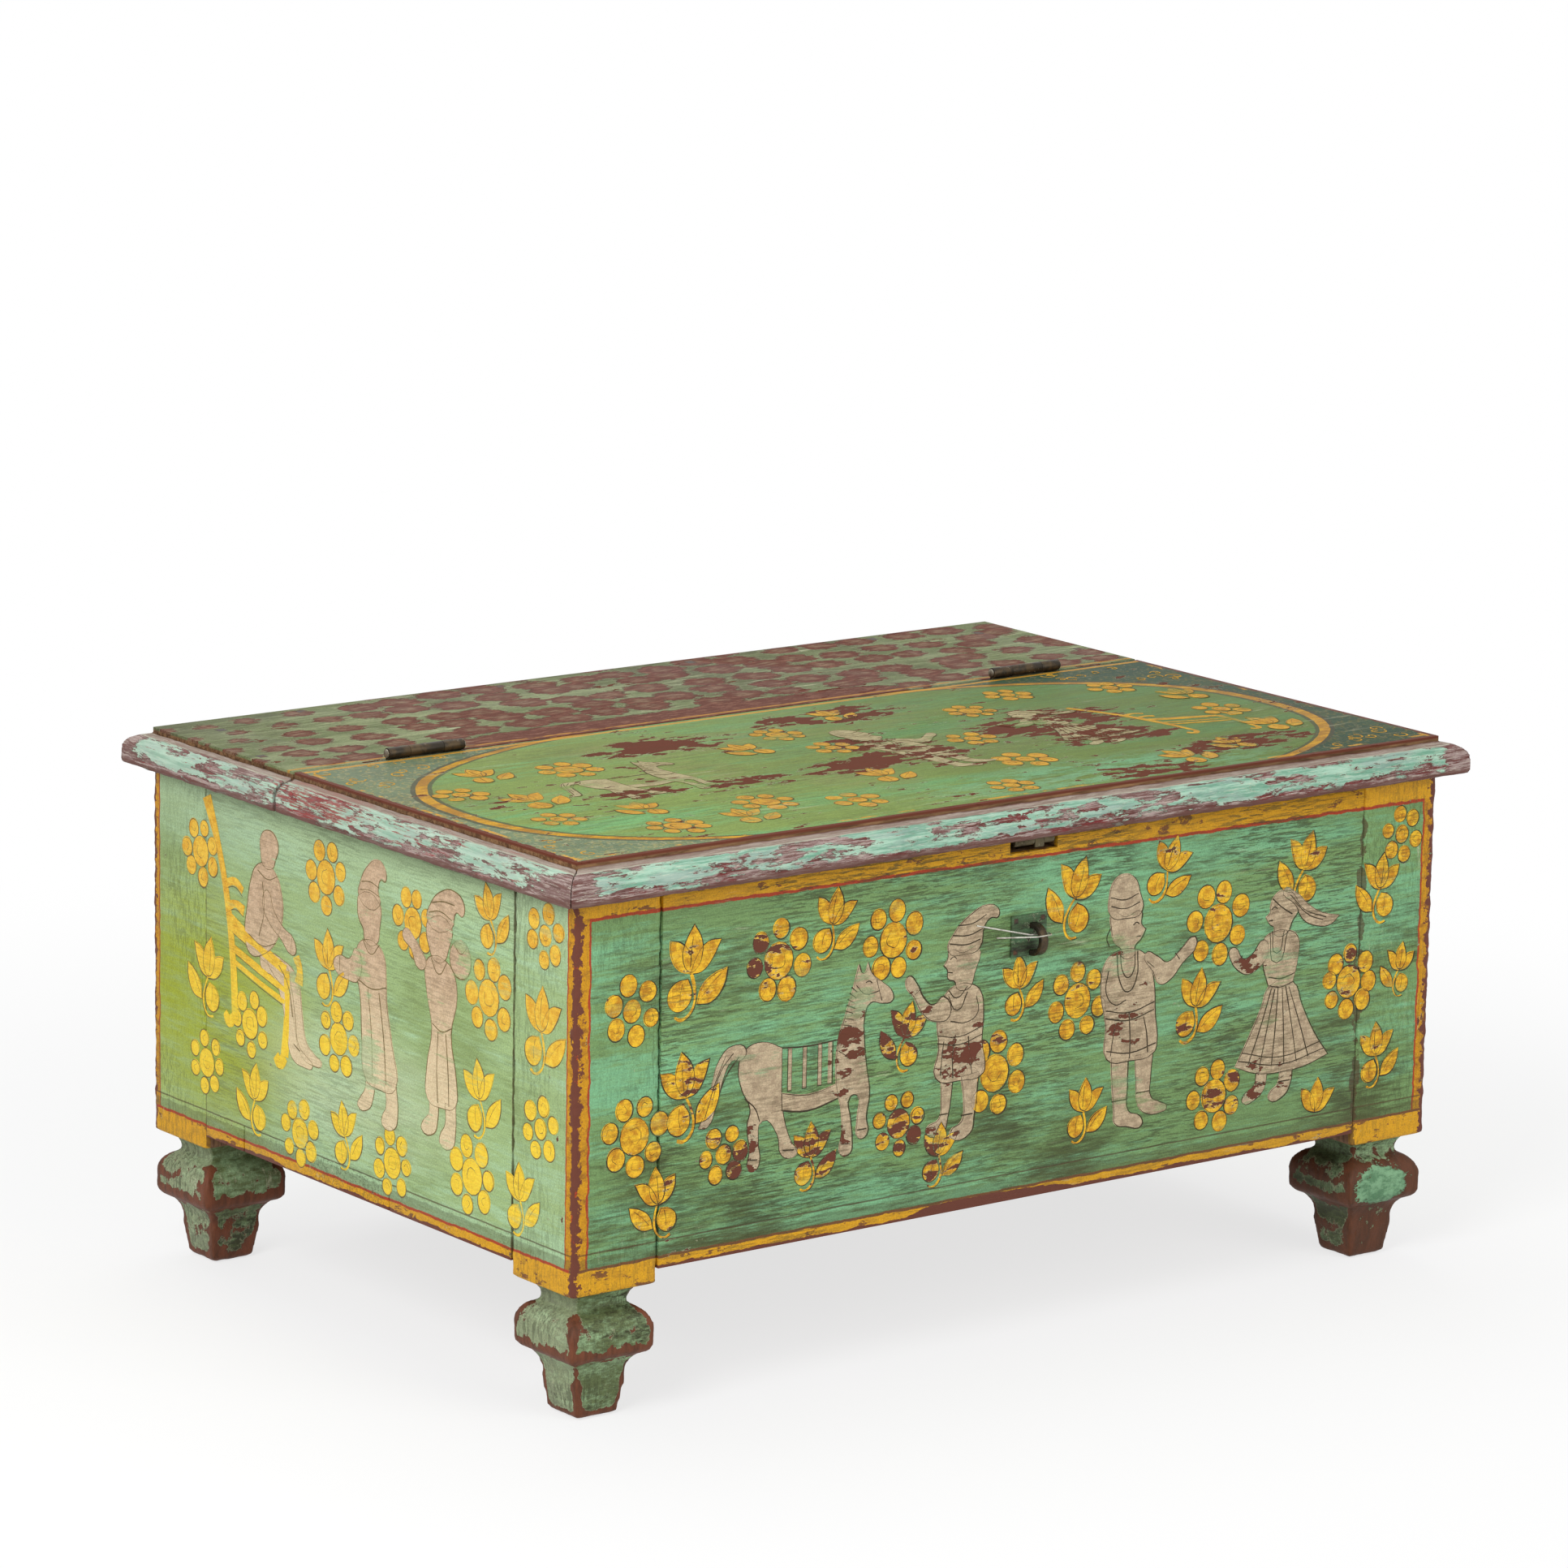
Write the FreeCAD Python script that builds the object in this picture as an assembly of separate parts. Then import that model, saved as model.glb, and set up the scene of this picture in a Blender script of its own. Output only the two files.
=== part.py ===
import FreeCAD
import Part
import os
from math import pi, sin, sqrt, tan

# A low wooden dowry chest on four carved feet. Four corner posts, each cut into a foot below its
# square block, hold tongued panels. Floor planks are nailed up under the panels. The top is a fixed
# rear board and a hinged lid, both edged with a mitred moulding.
# Millimetres. The origin is on the ground under the middle of the chest, +X to the right of someone
# who faces the front, +Y to the back, +Z up.

V = FreeCAD.Vector

# Carcase: outer sizes of the box between the moulded top and the feet
body_width = 960.0
body_depth = 654.0
panel_height = 302.0
panel_thickness = 26.0
post_size = 88.0
seam_gap = 0.8
tongue_thickness = 10.0
tongue_length = 14.0
tongue_setback = 8.0
groove_spare = 0.5

# Floor planks: the front and rear ones are notched round the posts
floor_thickness = 24.0
floor_rise = 13.0
floor_front_width = 272.0
floor_rear_width = 151.0
floor_joint_gap = 1.5

# Foot: sides of its square sections, and the height of each stage from the ground up
toe_size = 34.0
sole_size = 44.0
ankle_size = 52.0
ledge_size = 69.0
bulge_under_size = 72.0
bulge_size = 86.0
neck_size = 54.0
shoulder_size = 73.0
toe_height = 7.0
ankle_height = 24.0
ankle_cove_height = 23.0
bulge_round_height = 11.0
bulge_band_height = 8.0
bulge_ovolo_height = 24.0
neck_cove_height = 18.0

# Top: the fixed rear board, the lid, and the moulding planted on their edges
board_thickness = 34.0
joint_behind_middle = 97.0
joint_gap = 3.0
moulding_reach = 21.5
moulding_step = 2.5
cove_width = 6.5
cove_drop = 4.5
fillet_width = 1.5
ovolo_drop = 15.0
moulding_round = 4.0

# Butt hinges: leaves let into the edges of the joint, barrels proud of the top
hinge_length = 80.0
hinge_inset = 138.0
barrel_radius = 5.0
barrel_clearance = 0.3
pin_radius = 2.5
pin_fit = 0.05
pin_head_radius = 3.9
pin_head_thickness = 1.5
knuckle_gap = 0.3
middle_knuckle_share = 0.45
leaf_thickness = 2.0
leaf_height = 27.0
leaf_spacing = 0.6
mortise_fit = 0.3
hinge_nail_size = 3.0
hinge_nail_head_size = 6.6
hinge_nail_length = 24.0
hinge_nail_fit = 0.05
hinge_nail_place_shares = (-0.36, 0.0, 0.36)
hinge_nail_height_shares = (0.38, 0.68, 0.38)

# Forged nails with square shanks
nail_size = 3.2
nail_head_size = 9.0
nail_head_thickness = 1.8
nail_crown_share = 0.45
floor_nail_length = 62.0
top_nail_length = 74.0
long_nail_shares = (-0.42, -0.14, 0.14, 0.42)
side_nail_shares = (-0.3, 0.3)

# Lock plate and its staple on the front panel
lock_right_of_middle = 2.0
plate_below_top = 89.0
plate_width = 39.0
plate_height = 37.0
plate_thickness = 2.0
plate_nail_size = 2.0
plate_nail_head_size = 4.6
plate_nail_head_thickness = 1.2
plate_nail_length = 16.0
plate_nail_inset = 4.5
staple_right_of_plate = 5.0
staple_below_plate = 4.0
staple_width = 8.0
staple_thickness = 4.5
staple_eye_height = 20.0
staple_reach = 18.0
staple_fit = 0.2
clench_length = 12.0

# What is left of the hasp: its leaf under the lid, in a notch of the front panel
hasp_right_of_middle = 6.5
hasp_width = 44.0
hasp_leaf_thickness = 2.0
hasp_leaf_length = 55.0
hasp_barrel_radius = 4.2
hasp_barrel_setback = 3.0
hasp_barrel_sink = 0.3
hasp_pin_radius = 1.8
hasp_knuckle_gap = 0.3
hasp_stub_place_share = 0.12
hasp_stub_share = 0.24
hasp_stub_tail = 6.0
hasp_nail_size = 2.4
hasp_nail_head_size = 6.0
hasp_nail_head_thickness = 1.4
hasp_nail_length = 24.0
hasp_nail_place_shares = (-0.3, 0.3)
hasp_nail_inset = 9.0
notch_width = 53.0
notch_depth = 15.0

# Loose tie wire: a hairpin hung on the staple's bow
wire_radius = 0.8
wire_sides = 8
wire_clearance = 0.7
wire_above_staple = 6.0
wire_bend_share = 0.96
wire_kink_radius = 12.0
wire_outer_length = 46.0
wire_inner_length = 61.0
wire_level_length = 13.0
wire_outer_rise = 5.0
wire_inner_rise = 16.0

# One overrun serves all cuts
overrun = 5.0

# Heights and half sizes that follow from the values above
half_width = body_width / 2
half_depth = body_depth / 2
foot_stage_heights = (toe_height, ankle_height, ankle_cove_height, bulge_round_height,
                      bulge_band_height, bulge_ovolo_height, neck_cove_height)
block_underside = sum(foot_stage_heights)
floor_underside = block_underside + floor_rise
floor_top = floor_underside + floor_thickness
carcase_top = floor_top + panel_height
board_top = carcase_top + board_thickness
inner_half_width = half_width - post_size
inner_half_depth = half_depth - post_size
hinge_offset = half_width - hinge_inset
hinge_axis_height = board_top + barrel_clearance + barrel_radius
plate_height_centre = carcase_top - plate_below_top
staple_x = lock_right_of_middle + staple_right_of_plate
staple_z = plate_height_centre - staple_below_plate
eye_radius = staple_eye_height / 2
bow_radius = eye_radius + staple_thickness
bow_centre_y = -half_depth - staple_reach + bow_radius
LEFT_RIGHT = (("left", -1), ("right", 1))


def board(low, high):
    """A squared board between two opposite corners."""
    return Part.makeBox(high[0] - low[0], high[1] - low[1], high[2] - low[2], V(*low))


def cylinder(radius, start, end):
    """A round bar from one point to another."""
    along = end - start
    return Part.makeCylinder(radius, along.Length, start, along)


def quarter(start, end, corner):
    """A quarter-round edge from start to end, round the corner point that is its centre."""
    half_turn_share = sin(pi / 4)
    middle = corner + ((start - corner) + (end - corner)) * half_turn_share
    return Part.Arc(start, middle, end).toShape()


def line(start, end):
    return Part.LineSegment(start, end).toShape()


def outline_face(edges):
    return Part.Face(Part.Wire(edges))


def union(first, *others):
    return first.fuse(list(others)).removeSplitter()


def pierced(wood, tools):
    """The wood with the room of each fastener taken out."""
    return wood.cut(Part.makeCompound(tools))


# Carcase


def foot_profile(turned):
    """The foot's full outline, cut across the middle, as a face in the XZ or the YZ plane."""
    sizes = (toe_size, sole_size, ankle_size, ledge_size, bulge_under_size, bulge_size,
             bulge_size, neck_size, shoulder_size)
    stages = (0, toe_height, ankle_height, ankle_cove_height, 0, bulge_round_height,
              bulge_band_height, bulge_ovolo_height, neck_cove_height)
    heights = [sum(stages[:index + 1]) for index in range(len(stages))]
    toe, sole, ankle, ledge, under, low, high, neck, shoulder = zip(sizes, heights)

    def point(side, size, height):
        across = side * size / 2
        return V(0, across, height) if turned else V(across, 0, height)

    def flank(side):
        def at(stage):
            return point(side, *stage)

        def corner(across_stage, height_stage):
            return point(side, across_stage[0], height_stage[1])

        return [
            quarter(at(toe), at(sole), corner(toe, sole)),
            line(at(sole), at(ankle)),
            quarter(at(ankle), at(ledge), corner(ledge, ankle)),
            line(at(ledge), at(under)),
            quarter(at(under), at(low), corner(under, low)),
            line(at(low), at(high)),
            quarter(at(high), at(neck), corner(neck, high)),
            quarter(at(neck), at(shoulder), corner(shoulder, neck)),
        ]

    across_toe = line(point(1, *toe), point(-1, *toe))
    across_shoulder = line(point(-1, *shoulder), point(1, *shoulder))
    edges = flank(1) + [across_shoulder] + flank(-1) + [across_toe]
    return outline_face(Part.sortEdges(edges)[0])


def carved_foot(centre_x, centre_y):
    """Two crossed profiles meet in a foot of square section with mitred mouldings."""
    face_x = foot_profile(False)
    face_x.translate(V(0, -post_size / 2, 0))
    face_y = foot_profile(True)
    face_y.translate(V(-post_size / 2, 0, 0))
    foot = face_x.extrude(V(0, post_size, 0)).common(face_y.extrude(V(post_size, 0, 0)))
    foot.translate(V(centre_x, centre_y, 0))
    return foot


def front_left_post():
    """Block, foot and the two stopped grooves that take the panels' tongues."""
    block = board((-half_width, -half_depth, block_underside),
                  (-inner_half_width, -inner_half_depth, carcase_top))
    foot = carved_foot(-half_width + post_size / 2, -half_depth + post_size / 2)
    groove_depth = tongue_length + groove_spare
    tongue_start = tongue_setback
    tongue_end = tongue_setback + tongue_thickness
    front_groove = board((-inner_half_width - groove_depth, -half_depth + tongue_start, floor_top),
                         (-inner_half_width + overrun, -half_depth + tongue_end, carcase_top + overrun))
    side_groove = board((-half_width + tongue_start, -inner_half_depth - groove_depth, floor_top),
                        (-half_width + tongue_end, -inner_half_depth + overrun, carcase_top + overrun))
    return union(block, foot).cut([front_groove, side_groove])


def posts():
    first = front_left_post()
    across_x = V(1, 0, 0)
    across_y = V(0, 1, 0)
    middle = V(0, 0, 0)
    return {
        "corner_post_front_left": first,
        "corner_post_front_right": first.mirror(middle, across_x),
        "corner_post_rear_left": first.mirror(middle, across_y),
        "corner_post_rear_right": first.mirror(middle, across_x).mirror(middle, across_y),
    }


def long_panel():
    """The plank between the front posts, with a tongue at each end."""
    plank = board((-inner_half_width + seam_gap, -half_depth, floor_top),
                  (inner_half_width - seam_gap, -half_depth + panel_thickness, carcase_top))
    tongue_y = -half_depth + tongue_setback
    tongue = board((-inner_half_width - tongue_length, tongue_y, floor_top),
                   (inner_half_width + tongue_length, tongue_y + tongue_thickness, carcase_top))
    return union(plank, tongue)


def side_panel():
    """The plank between the left posts."""
    plank = board((-half_width, -inner_half_depth + seam_gap, floor_top),
                  (-half_width + panel_thickness, inner_half_depth - seam_gap, carcase_top))
    tongue_x = -half_width + tongue_setback
    tongue = board((tongue_x, -inner_half_depth - tongue_length, floor_top),
                   (tongue_x + tongue_thickness, inner_half_depth + tongue_length, carcase_top))
    return union(plank, tongue)


def hasp_notch():
    """The gap in the front panel's top edge that the hasp's leaf passes through."""
    half_notch = notch_width / 2
    return board((hasp_right_of_middle - half_notch, -half_depth - overrun, carcase_top - notch_depth),
                 (hasp_right_of_middle + half_notch, -half_depth + panel_thickness + overrun,
                  carcase_top + overrun))


def panels():
    front = long_panel()
    left = side_panel()
    return {
        "front_panel": front.cut(hasp_notch()),
        "back_panel": front.mirror(V(0, 0, 0), V(0, 1, 0)),
        "left_panel": left,
        "right_panel": left.mirror(V(0, 0, 0), V(1, 0, 0)),
    }


def floor_boards():
    """Three planks laid lengthwise, flush with the panels outside and notched round the posts."""
    front_joint = -half_depth + floor_front_width
    rear_joint = half_depth - floor_rear_width
    half_gap = floor_joint_gap / 2
    spans = (("front", -half_depth, front_joint - half_gap),
             ("middle", front_joint + half_gap, rear_joint - half_gap),
             ("rear", rear_joint + half_gap, half_depth))
    notches = []
    for _, side in LEFT_RIGHT:
        for face in (-1, 1):
            inner = V(side * (inner_half_width - seam_gap), face * (inner_half_depth - seam_gap), 0)
            outer = V(side * (half_width + overrun), face * (half_depth + overrun), 0)
            notches.append(board((min(inner.x, outer.x), min(inner.y, outer.y), floor_underside - overrun),
                                 (max(inner.x, outer.x), max(inner.y, outer.y), floor_top + overrun)))
    planks = {}
    for name, front_edge, rear_edge in spans:
        plank = board((-half_width, front_edge, floor_underside), (half_width, rear_edge, floor_top))
        planks["floor_board_" + name] = plank.cut(notches)
    return planks


# Nails


def nail(size, length, head_size, head_thickness, crown_share):
    """A forged nail along +Z: a square shank on a faceted head whose seat is at height zero."""
    half = size / 2
    half_head = head_size / 2
    half_crown = half_head * crown_share
    shank = board((-half, -half, 0), (half, half, length))
    head = Part.makeWedge(-half_crown, -head_thickness, -half_crown, -half_head, -half_head,
                          half_crown, 0, half_crown, half_head, half_head)
    head.rotate(V(0, 0, 0), V(1, 0, 0), 90)
    return union(shank, head)


def floor_nails():
    """Driven up through the planks into the lower edges of the panels."""
    long_y = half_depth - panel_thickness / 2
    side_x = half_width - panel_thickness / 2
    places = [(share * 2 * inner_half_width, face * long_y)
              for face in (-1, 1) for share in long_nail_shares]
    places += [(side * side_x, share * 2 * inner_half_depth)
               for _, side in LEFT_RIGHT for share in side_nail_shares]
    nails = []
    for x, y in places:
        one = nail(nail_size, floor_nail_length, nail_head_size, nail_head_thickness, nail_crown_share)
        one.translate(V(x, y, floor_underside))
        nails.append(one)
    return nails


def top_nails():
    """Driven down through the rear board, with flat heads let in flush."""
    rear_y = half_depth - panel_thickness / 2
    side_x = half_width - panel_thickness / 2
    side_y = (joint_behind_middle + inner_half_depth) / 2
    places = [(share * 2 * inner_half_width, rear_y) for share in long_nail_shares]
    places += [(side * side_x, side_y) for _, side in LEFT_RIGHT]
    places += [(side * (half_width - post_size / 2), half_depth - post_size / 2) for _, side in LEFT_RIGHT]
    half = nail_size / 2
    half_head = nail_head_size / 2
    nails = []
    for x, y in places:
        shank = board((x - half, y - half, board_top - top_nail_length), (x + half, y + half, board_top))
        head = board((x - half_head, y - half_head, board_top - nail_head_thickness),
                     (x + half_head, y + half_head, board_top))
        nails.append(union(shank, head))
    return nails


# Top


def moulding_profile():
    """Section of the edge moulding in XZ: step, cove, fillet, ovolo and a rounded lower edge."""
    cove_top = board_top - moulding_step
    cove_foot = cove_top - cove_drop
    ovolo_start = cove_width + fillet_width
    ovolo_foot = cove_foot - ovolo_drop
    back_foot = V(0, 0, carcase_top)
    back_top = V(0, 0, cove_top)
    cove_end = V(cove_width, 0, cove_foot)
    fillet_end = V(ovolo_start, 0, cove_foot)
    ovolo_end = V(moulding_reach, 0, ovolo_foot)
    round_start = V(moulding_reach, 0, carcase_top + moulding_round)
    round_end = V(moulding_reach - moulding_round, 0, carcase_top)
    return outline_face([
        line(back_foot, back_top),
        quarter(back_top, cove_end, V(cove_width, 0, cove_top)),
        line(cove_end, fillet_end),
        quarter(fillet_end, ovolo_end, V(ovolo_start, 0, ovolo_foot)),
        line(ovolo_end, round_start),
        quarter(round_start, round_end, V(moulding_reach - moulding_round, 0, carcase_top + moulding_round)),
        line(round_end, back_foot),
    ])


def mitre_block(plan):
    """A tall block over the plan of one mitred strip."""
    corners = [V(x, y, carcase_top - overrun) for x, y in plan]
    corners.append(corners[0])
    return Part.Face(Part.makePolygon(corners)).extrude(V(0, 0, board_thickness + 2 * overrun))


def end_strip(side, plan):
    """Moulding on a left or right edge, which runs from front to back."""
    face = moulding_profile()
    if side < 0:
        face = face.mirror(V(0, 0, 0), V(1, 0, 0))
    reach_y = half_depth + moulding_reach + overrun
    face.translate(V(side * half_width, -reach_y, 0))
    return face.extrude(V(0, 2 * reach_y, 0)).common(mitre_block(plan))


def long_strip(facing, plan):
    """Moulding on the front or back edge, which runs from left to right."""
    face = moulding_profile()
    face.rotate(V(0, 0, 0), V(0, 0, 1), 90 * facing)
    reach_x = half_width + moulding_reach + overrun
    face.translate(V(-reach_x, facing * half_depth, 0))
    return face.extrude(V(2 * reach_x, 0, 0)).common(mitre_block(plan))


def mouldings(prefix, facing, long_name, joint_y):
    """The three strips round one of the two boards, square at the joint and mitred at the corners."""
    corner_y = facing * half_depth
    outer_y = facing * (half_depth + moulding_reach)
    outer_x = half_width + moulding_reach
    strips = {}
    strips[prefix + long_name] = long_strip(
        facing, [(-half_width, corner_y), (half_width, corner_y), (outer_x, outer_y), (-outer_x, outer_y)])
    for name, side in LEFT_RIGHT:
        plan = [(side * half_width, corner_y), (side * outer_x, outer_y),
                (side * outer_x, joint_y), (side * half_width, joint_y)]
        strips[prefix + name] = end_strip(side, plan)
    return strips


def leaf_mortises(facing):
    """Shallow seats for the hinge leaves in one edge of the joint."""
    leaf_back = leaf_spacing / 2 + leaf_thickness
    depth_edges = sorted((joint_behind_middle + facing * leaf_back, joint_behind_middle))
    half_seat = hinge_length / 2 + mortise_fit
    seats = []
    for _, side in LEFT_RIGHT:
        centre = side * hinge_offset
        seats.append(board((centre - half_seat, depth_edges[0], board_top - leaf_height - mortise_fit),
                           (centre + half_seat, depth_edges[1], board_top + overrun)))
    return seats


def rear_top_board():
    front_edge = joint_behind_middle + joint_gap / 2
    plank = board((-half_width, front_edge, carcase_top), (half_width, half_depth, board_top))
    return plank.cut(leaf_mortises(1) + hinge_nails(1, hinge_nail_fit))


def lid_board():
    rear_edge = joint_behind_middle - joint_gap / 2
    plank = board((-half_width, -half_depth, carcase_top), (half_width, rear_edge, board_top))
    return plank.cut(leaf_mortises(-1) + hinge_nails(-1, hinge_nail_fit))


# Hinges


def hinge_nails(facing, fit):
    """Square nails with countersunk heads through one leaf of both hinges, with fit as room round them."""
    half = hinge_nail_size / 2 + fit
    half_head = hinge_nail_head_size / 2 + fit
    face_y = joint_behind_middle + facing * leaf_spacing / 2
    nails = []
    for _, side in LEFT_RIGHT:
        for place_share, height_share in zip(hinge_nail_place_shares, hinge_nail_height_shares):
            shank = board((-half, 0, -half), (half, hinge_nail_length + fit, half))
            head = Part.makeWedge(-half_head, 0, -half_head, -half, -half,
                                  half_head, leaf_thickness, half_head, half, half)
            one = union(shank, head)
            if facing < 0:
                one = one.mirror(V(0, 0, 0), V(0, 1, 0))
            one.translate(V(side * hinge_offset + place_share * hinge_length, face_y,
                            board_top - height_share * leaf_height))
            nails.append(one)
    return nails


def knuckle_spans():
    """Start and end of the left, middle and right knuckles along one hinge."""
    half = hinge_length / 2
    half_middle = hinge_length * middle_knuckle_share / 2
    return ((-half, -half_middle), (-half_middle + knuckle_gap, half_middle - knuckle_gap),
            (half_middle, half))


def hinge_leaf(centre, facing, spans):
    """A leaf in the joint with the knuckles that stand on it, bored for the pin."""
    near = joint_behind_middle + facing * leaf_spacing / 2
    far = near + facing * leaf_thickness
    low_y, high_y = sorted((near, far))
    half = hinge_length / 2
    plate = board((centre - half, low_y, board_top - leaf_height), (centre + half, high_y, board_top))
    bore_radius = pin_radius + pin_fit
    web_top = hinge_axis_height - (barrel_radius + bore_radius) / 2
    pieces = []
    for start, end in spans:
        axis_start = V(centre + start, joint_behind_middle, hinge_axis_height)
        axis_end = V(centre + end, joint_behind_middle, hinge_axis_height)
        pieces.append(cylinder(barrel_radius, axis_start, axis_end))
        pieces.append(board((centre + start, low_y, board_top - leaf_thickness),
                            (centre + end, high_y, web_top)))
    bore_reach = V(half + overrun, 0, 0)
    axis_middle = V(centre, joint_behind_middle, hinge_axis_height)
    bore = cylinder(bore_radius, axis_middle - bore_reach, axis_middle + bore_reach)
    return union(plate, *pieces).cut([bore] + hinge_nails(facing, hinge_nail_fit))


def hinge_pin(centre):
    """A round pin with a flat head peened on each end."""
    half = hinge_length / 2
    axis_middle = V(centre, joint_behind_middle, hinge_axis_height)
    shank = cylinder(pin_radius, axis_middle - V(half, 0, 0), axis_middle + V(half, 0, 0))
    heads = []
    for _, side in LEFT_RIGHT:
        seat = axis_middle + V(side * half, 0, 0)
        heads.append(cylinder(pin_head_radius, seat, seat + V(side * pin_head_thickness, 0, 0)))
    return union(shank, *heads)


def hinges():
    left_span, middle_span, right_span = knuckle_spans()
    pieces = {}
    for name, side in LEFT_RIGHT:
        centre = side * hinge_offset
        pieces["hinge_" + name + "_fixed_leaf"] = hinge_leaf(centre, 1, (left_span, right_span))
        pieces["hinge_" + name + "_lid_leaf"] = hinge_leaf(centre, -1, (middle_span,))
        pieces["hinge_" + name + "_pin"] = hinge_pin(centre)
    return pieces


# Lock plate and staple


def lock_plate():
    half_w = plate_width / 2
    half_h = plate_height / 2
    return board((lock_right_of_middle - half_w, -half_depth - plate_thickness, plate_height_centre - half_h),
                 (lock_right_of_middle + half_w, -half_depth, plate_height_centre + half_h))


def plate_nails():
    """Four small nails, one at each corner of the plate."""
    reach_x = plate_width / 2 - plate_nail_inset
    reach_z = plate_height / 2 - plate_nail_inset
    nails = []
    for _, side in LEFT_RIGHT:
        for up in (-1, 1):
            one = nail(plate_nail_size, plate_nail_length, plate_nail_head_size,
                       plate_nail_head_thickness, nail_crown_share)
            one.rotate(V(0, 0, 0), V(1, 0, 0), -90)
            one.translate(V(lock_right_of_middle + side * reach_x, -half_depth - plate_thickness,
                            plate_height_centre + up * reach_z))
            nails.append(one)
    return nails


def staple_outline(radius, end_y):
    """A long U in the YZ plane: a half-round bow and two legs that run back to end_y."""
    top = V(0, bow_centre_y, radius)
    foot = V(0, bow_centre_y, -radius)
    end_top = V(0, end_y, radius)
    end_foot = V(0, end_y, -radius)
    return outline_face([
        Part.Arc(top, V(0, bow_centre_y - radius, 0), foot).toShape(),
        line(foot, end_foot),
        line(end_foot, end_top),
        line(end_top, top),
    ])


def lock_staple():
    """A strip of iron bent to an eye, driven through the panel and clenched inside."""
    inside_y = -half_depth + panel_thickness
    end_y = inside_y + staple_thickness
    bow = staple_outline(bow_radius, end_y)
    eye = staple_outline(eye_radius, end_y)
    strip = bow.cut(eye).extrude(V(staple_width, 0, 0))
    clenches = []
    for up in (-1, 1):
        edges = sorted((up * eye_radius, up * (bow_radius + clench_length)))
        clenches.append(board((0, inside_y, edges[0]), (staple_width, end_y, edges[1])))
    staple = union(strip, *clenches)
    staple.translate(V(staple_x - staple_width / 2, 0, staple_z))
    return staple


def staple_slots():
    """Room for the staple's two legs through the plate and the panel."""
    half = staple_width / 2 + staple_fit
    inner = eye_radius - staple_fit
    outer = bow_radius + staple_fit
    slots = []
    for up in (-1, 1):
        low, high = sorted((up * inner, up * outer))
        slots.append(board((staple_x - half, -half_depth - plate_thickness - overrun, staple_z + low),
                           (staple_x + half, -half_depth + panel_thickness + overrun, staple_z + high)))
    return slots


# Hasp remains


hasp_axis_y = -half_depth + hasp_barrel_setback
hasp_axis_z = carcase_top - hasp_leaf_thickness - hasp_barrel_radius + hasp_barrel_sink
hasp_stub_middle = hasp_right_of_middle + hasp_stub_place_share * hasp_width
hasp_stub_half = hasp_stub_share * hasp_width / 2


def hasp_axis(x):
    return V(x, hasp_axis_y, hasp_axis_z)


def hasp_leaf():
    """The leaf under the lid, with a knuckle on each side of the broken strap."""
    half = hasp_width / 2
    left = hasp_right_of_middle - half
    right = hasp_right_of_middle + half
    plate = board((left, hasp_axis_y, carcase_top - hasp_leaf_thickness),
                  (right, hasp_axis_y + hasp_leaf_length, carcase_top))
    knuckles = [cylinder(hasp_barrel_radius, hasp_axis(left), hasp_axis(hasp_stub_middle - hasp_stub_half)),
                cylinder(hasp_barrel_radius, hasp_axis(hasp_stub_middle + hasp_stub_half), hasp_axis(right))]
    stub_room = hasp_barrel_radius + hasp_knuckle_gap
    gap = board((hasp_stub_middle - hasp_stub_half, hasp_axis_y - overrun, hasp_axis_z),
                (hasp_stub_middle + hasp_stub_half, hasp_axis_y + stub_room, carcase_top + overrun))
    bore = cylinder(hasp_pin_radius + pin_fit, hasp_axis(left - overrun), hasp_axis(right + overrun))
    return union(plate.cut(gap), *knuckles).cut(bore)


def hasp_pin():
    half = hasp_width / 2
    return cylinder(hasp_pin_radius, hasp_axis(hasp_right_of_middle - half),
                    hasp_axis(hasp_right_of_middle + half))


def hasp_strap_stub():
    """The middle knuckle of the strap, with the short tail where the strap broke off."""
    start = hasp_stub_middle - hasp_stub_half + hasp_knuckle_gap
    end = hasp_stub_middle + hasp_stub_half - hasp_knuckle_gap
    barrel = cylinder(hasp_barrel_radius, hasp_axis(start), hasp_axis(end))
    tail_y = hasp_axis_y - hasp_barrel_radius
    tail = board((start, tail_y, hasp_axis_z - hasp_stub_tail),
                 (end, tail_y + hasp_leaf_thickness, hasp_axis_z))
    bore = cylinder(hasp_pin_radius + pin_fit, hasp_axis(start - overrun), hasp_axis(end + overrun))
    return union(barrel, tail).cut(bore)


def hasp_nails():
    """Driven up through the leaf into the lid, inside the chest."""
    nail_y = hasp_axis_y + hasp_leaf_length - hasp_nail_inset
    nails = []
    for share in hasp_nail_place_shares:
        one = nail(hasp_nail_size, hasp_nail_length, hasp_nail_head_size, hasp_nail_head_thickness,
                   nail_crown_share)
        one.translate(V(hasp_right_of_middle + share * hasp_width, nail_y,
                        carcase_top - hasp_leaf_thickness))
        nails.append(one)
    return nails


# Tie wire


def rounded_path(points, radii):
    """Straight runs through the points, with a tangent arc of the given radius at each turn."""
    edges = []
    start = points[0]
    for before, corner, after, radius in zip(points, points[1:], points[2:], radii):
        incoming = (before - corner).normalize()
        outgoing = (after - corner).normalize()
        half_angle = incoming.getAngle(outgoing) / 2
        setback = radius / tan(half_angle)
        bisector = (incoming + outgoing).normalize()
        middle = corner + bisector * (radius / sin(half_angle) - radius)
        arc_start = corner + incoming * setback
        arc_end = corner + outgoing * setback
        edges.append(line(start, arc_start))
        edges.append(Part.Arc(arc_start, middle, arc_end).toShape())
        start = arc_end
    edges.append(line(start, points[-1]))
    return Part.Wire(edges)


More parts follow.
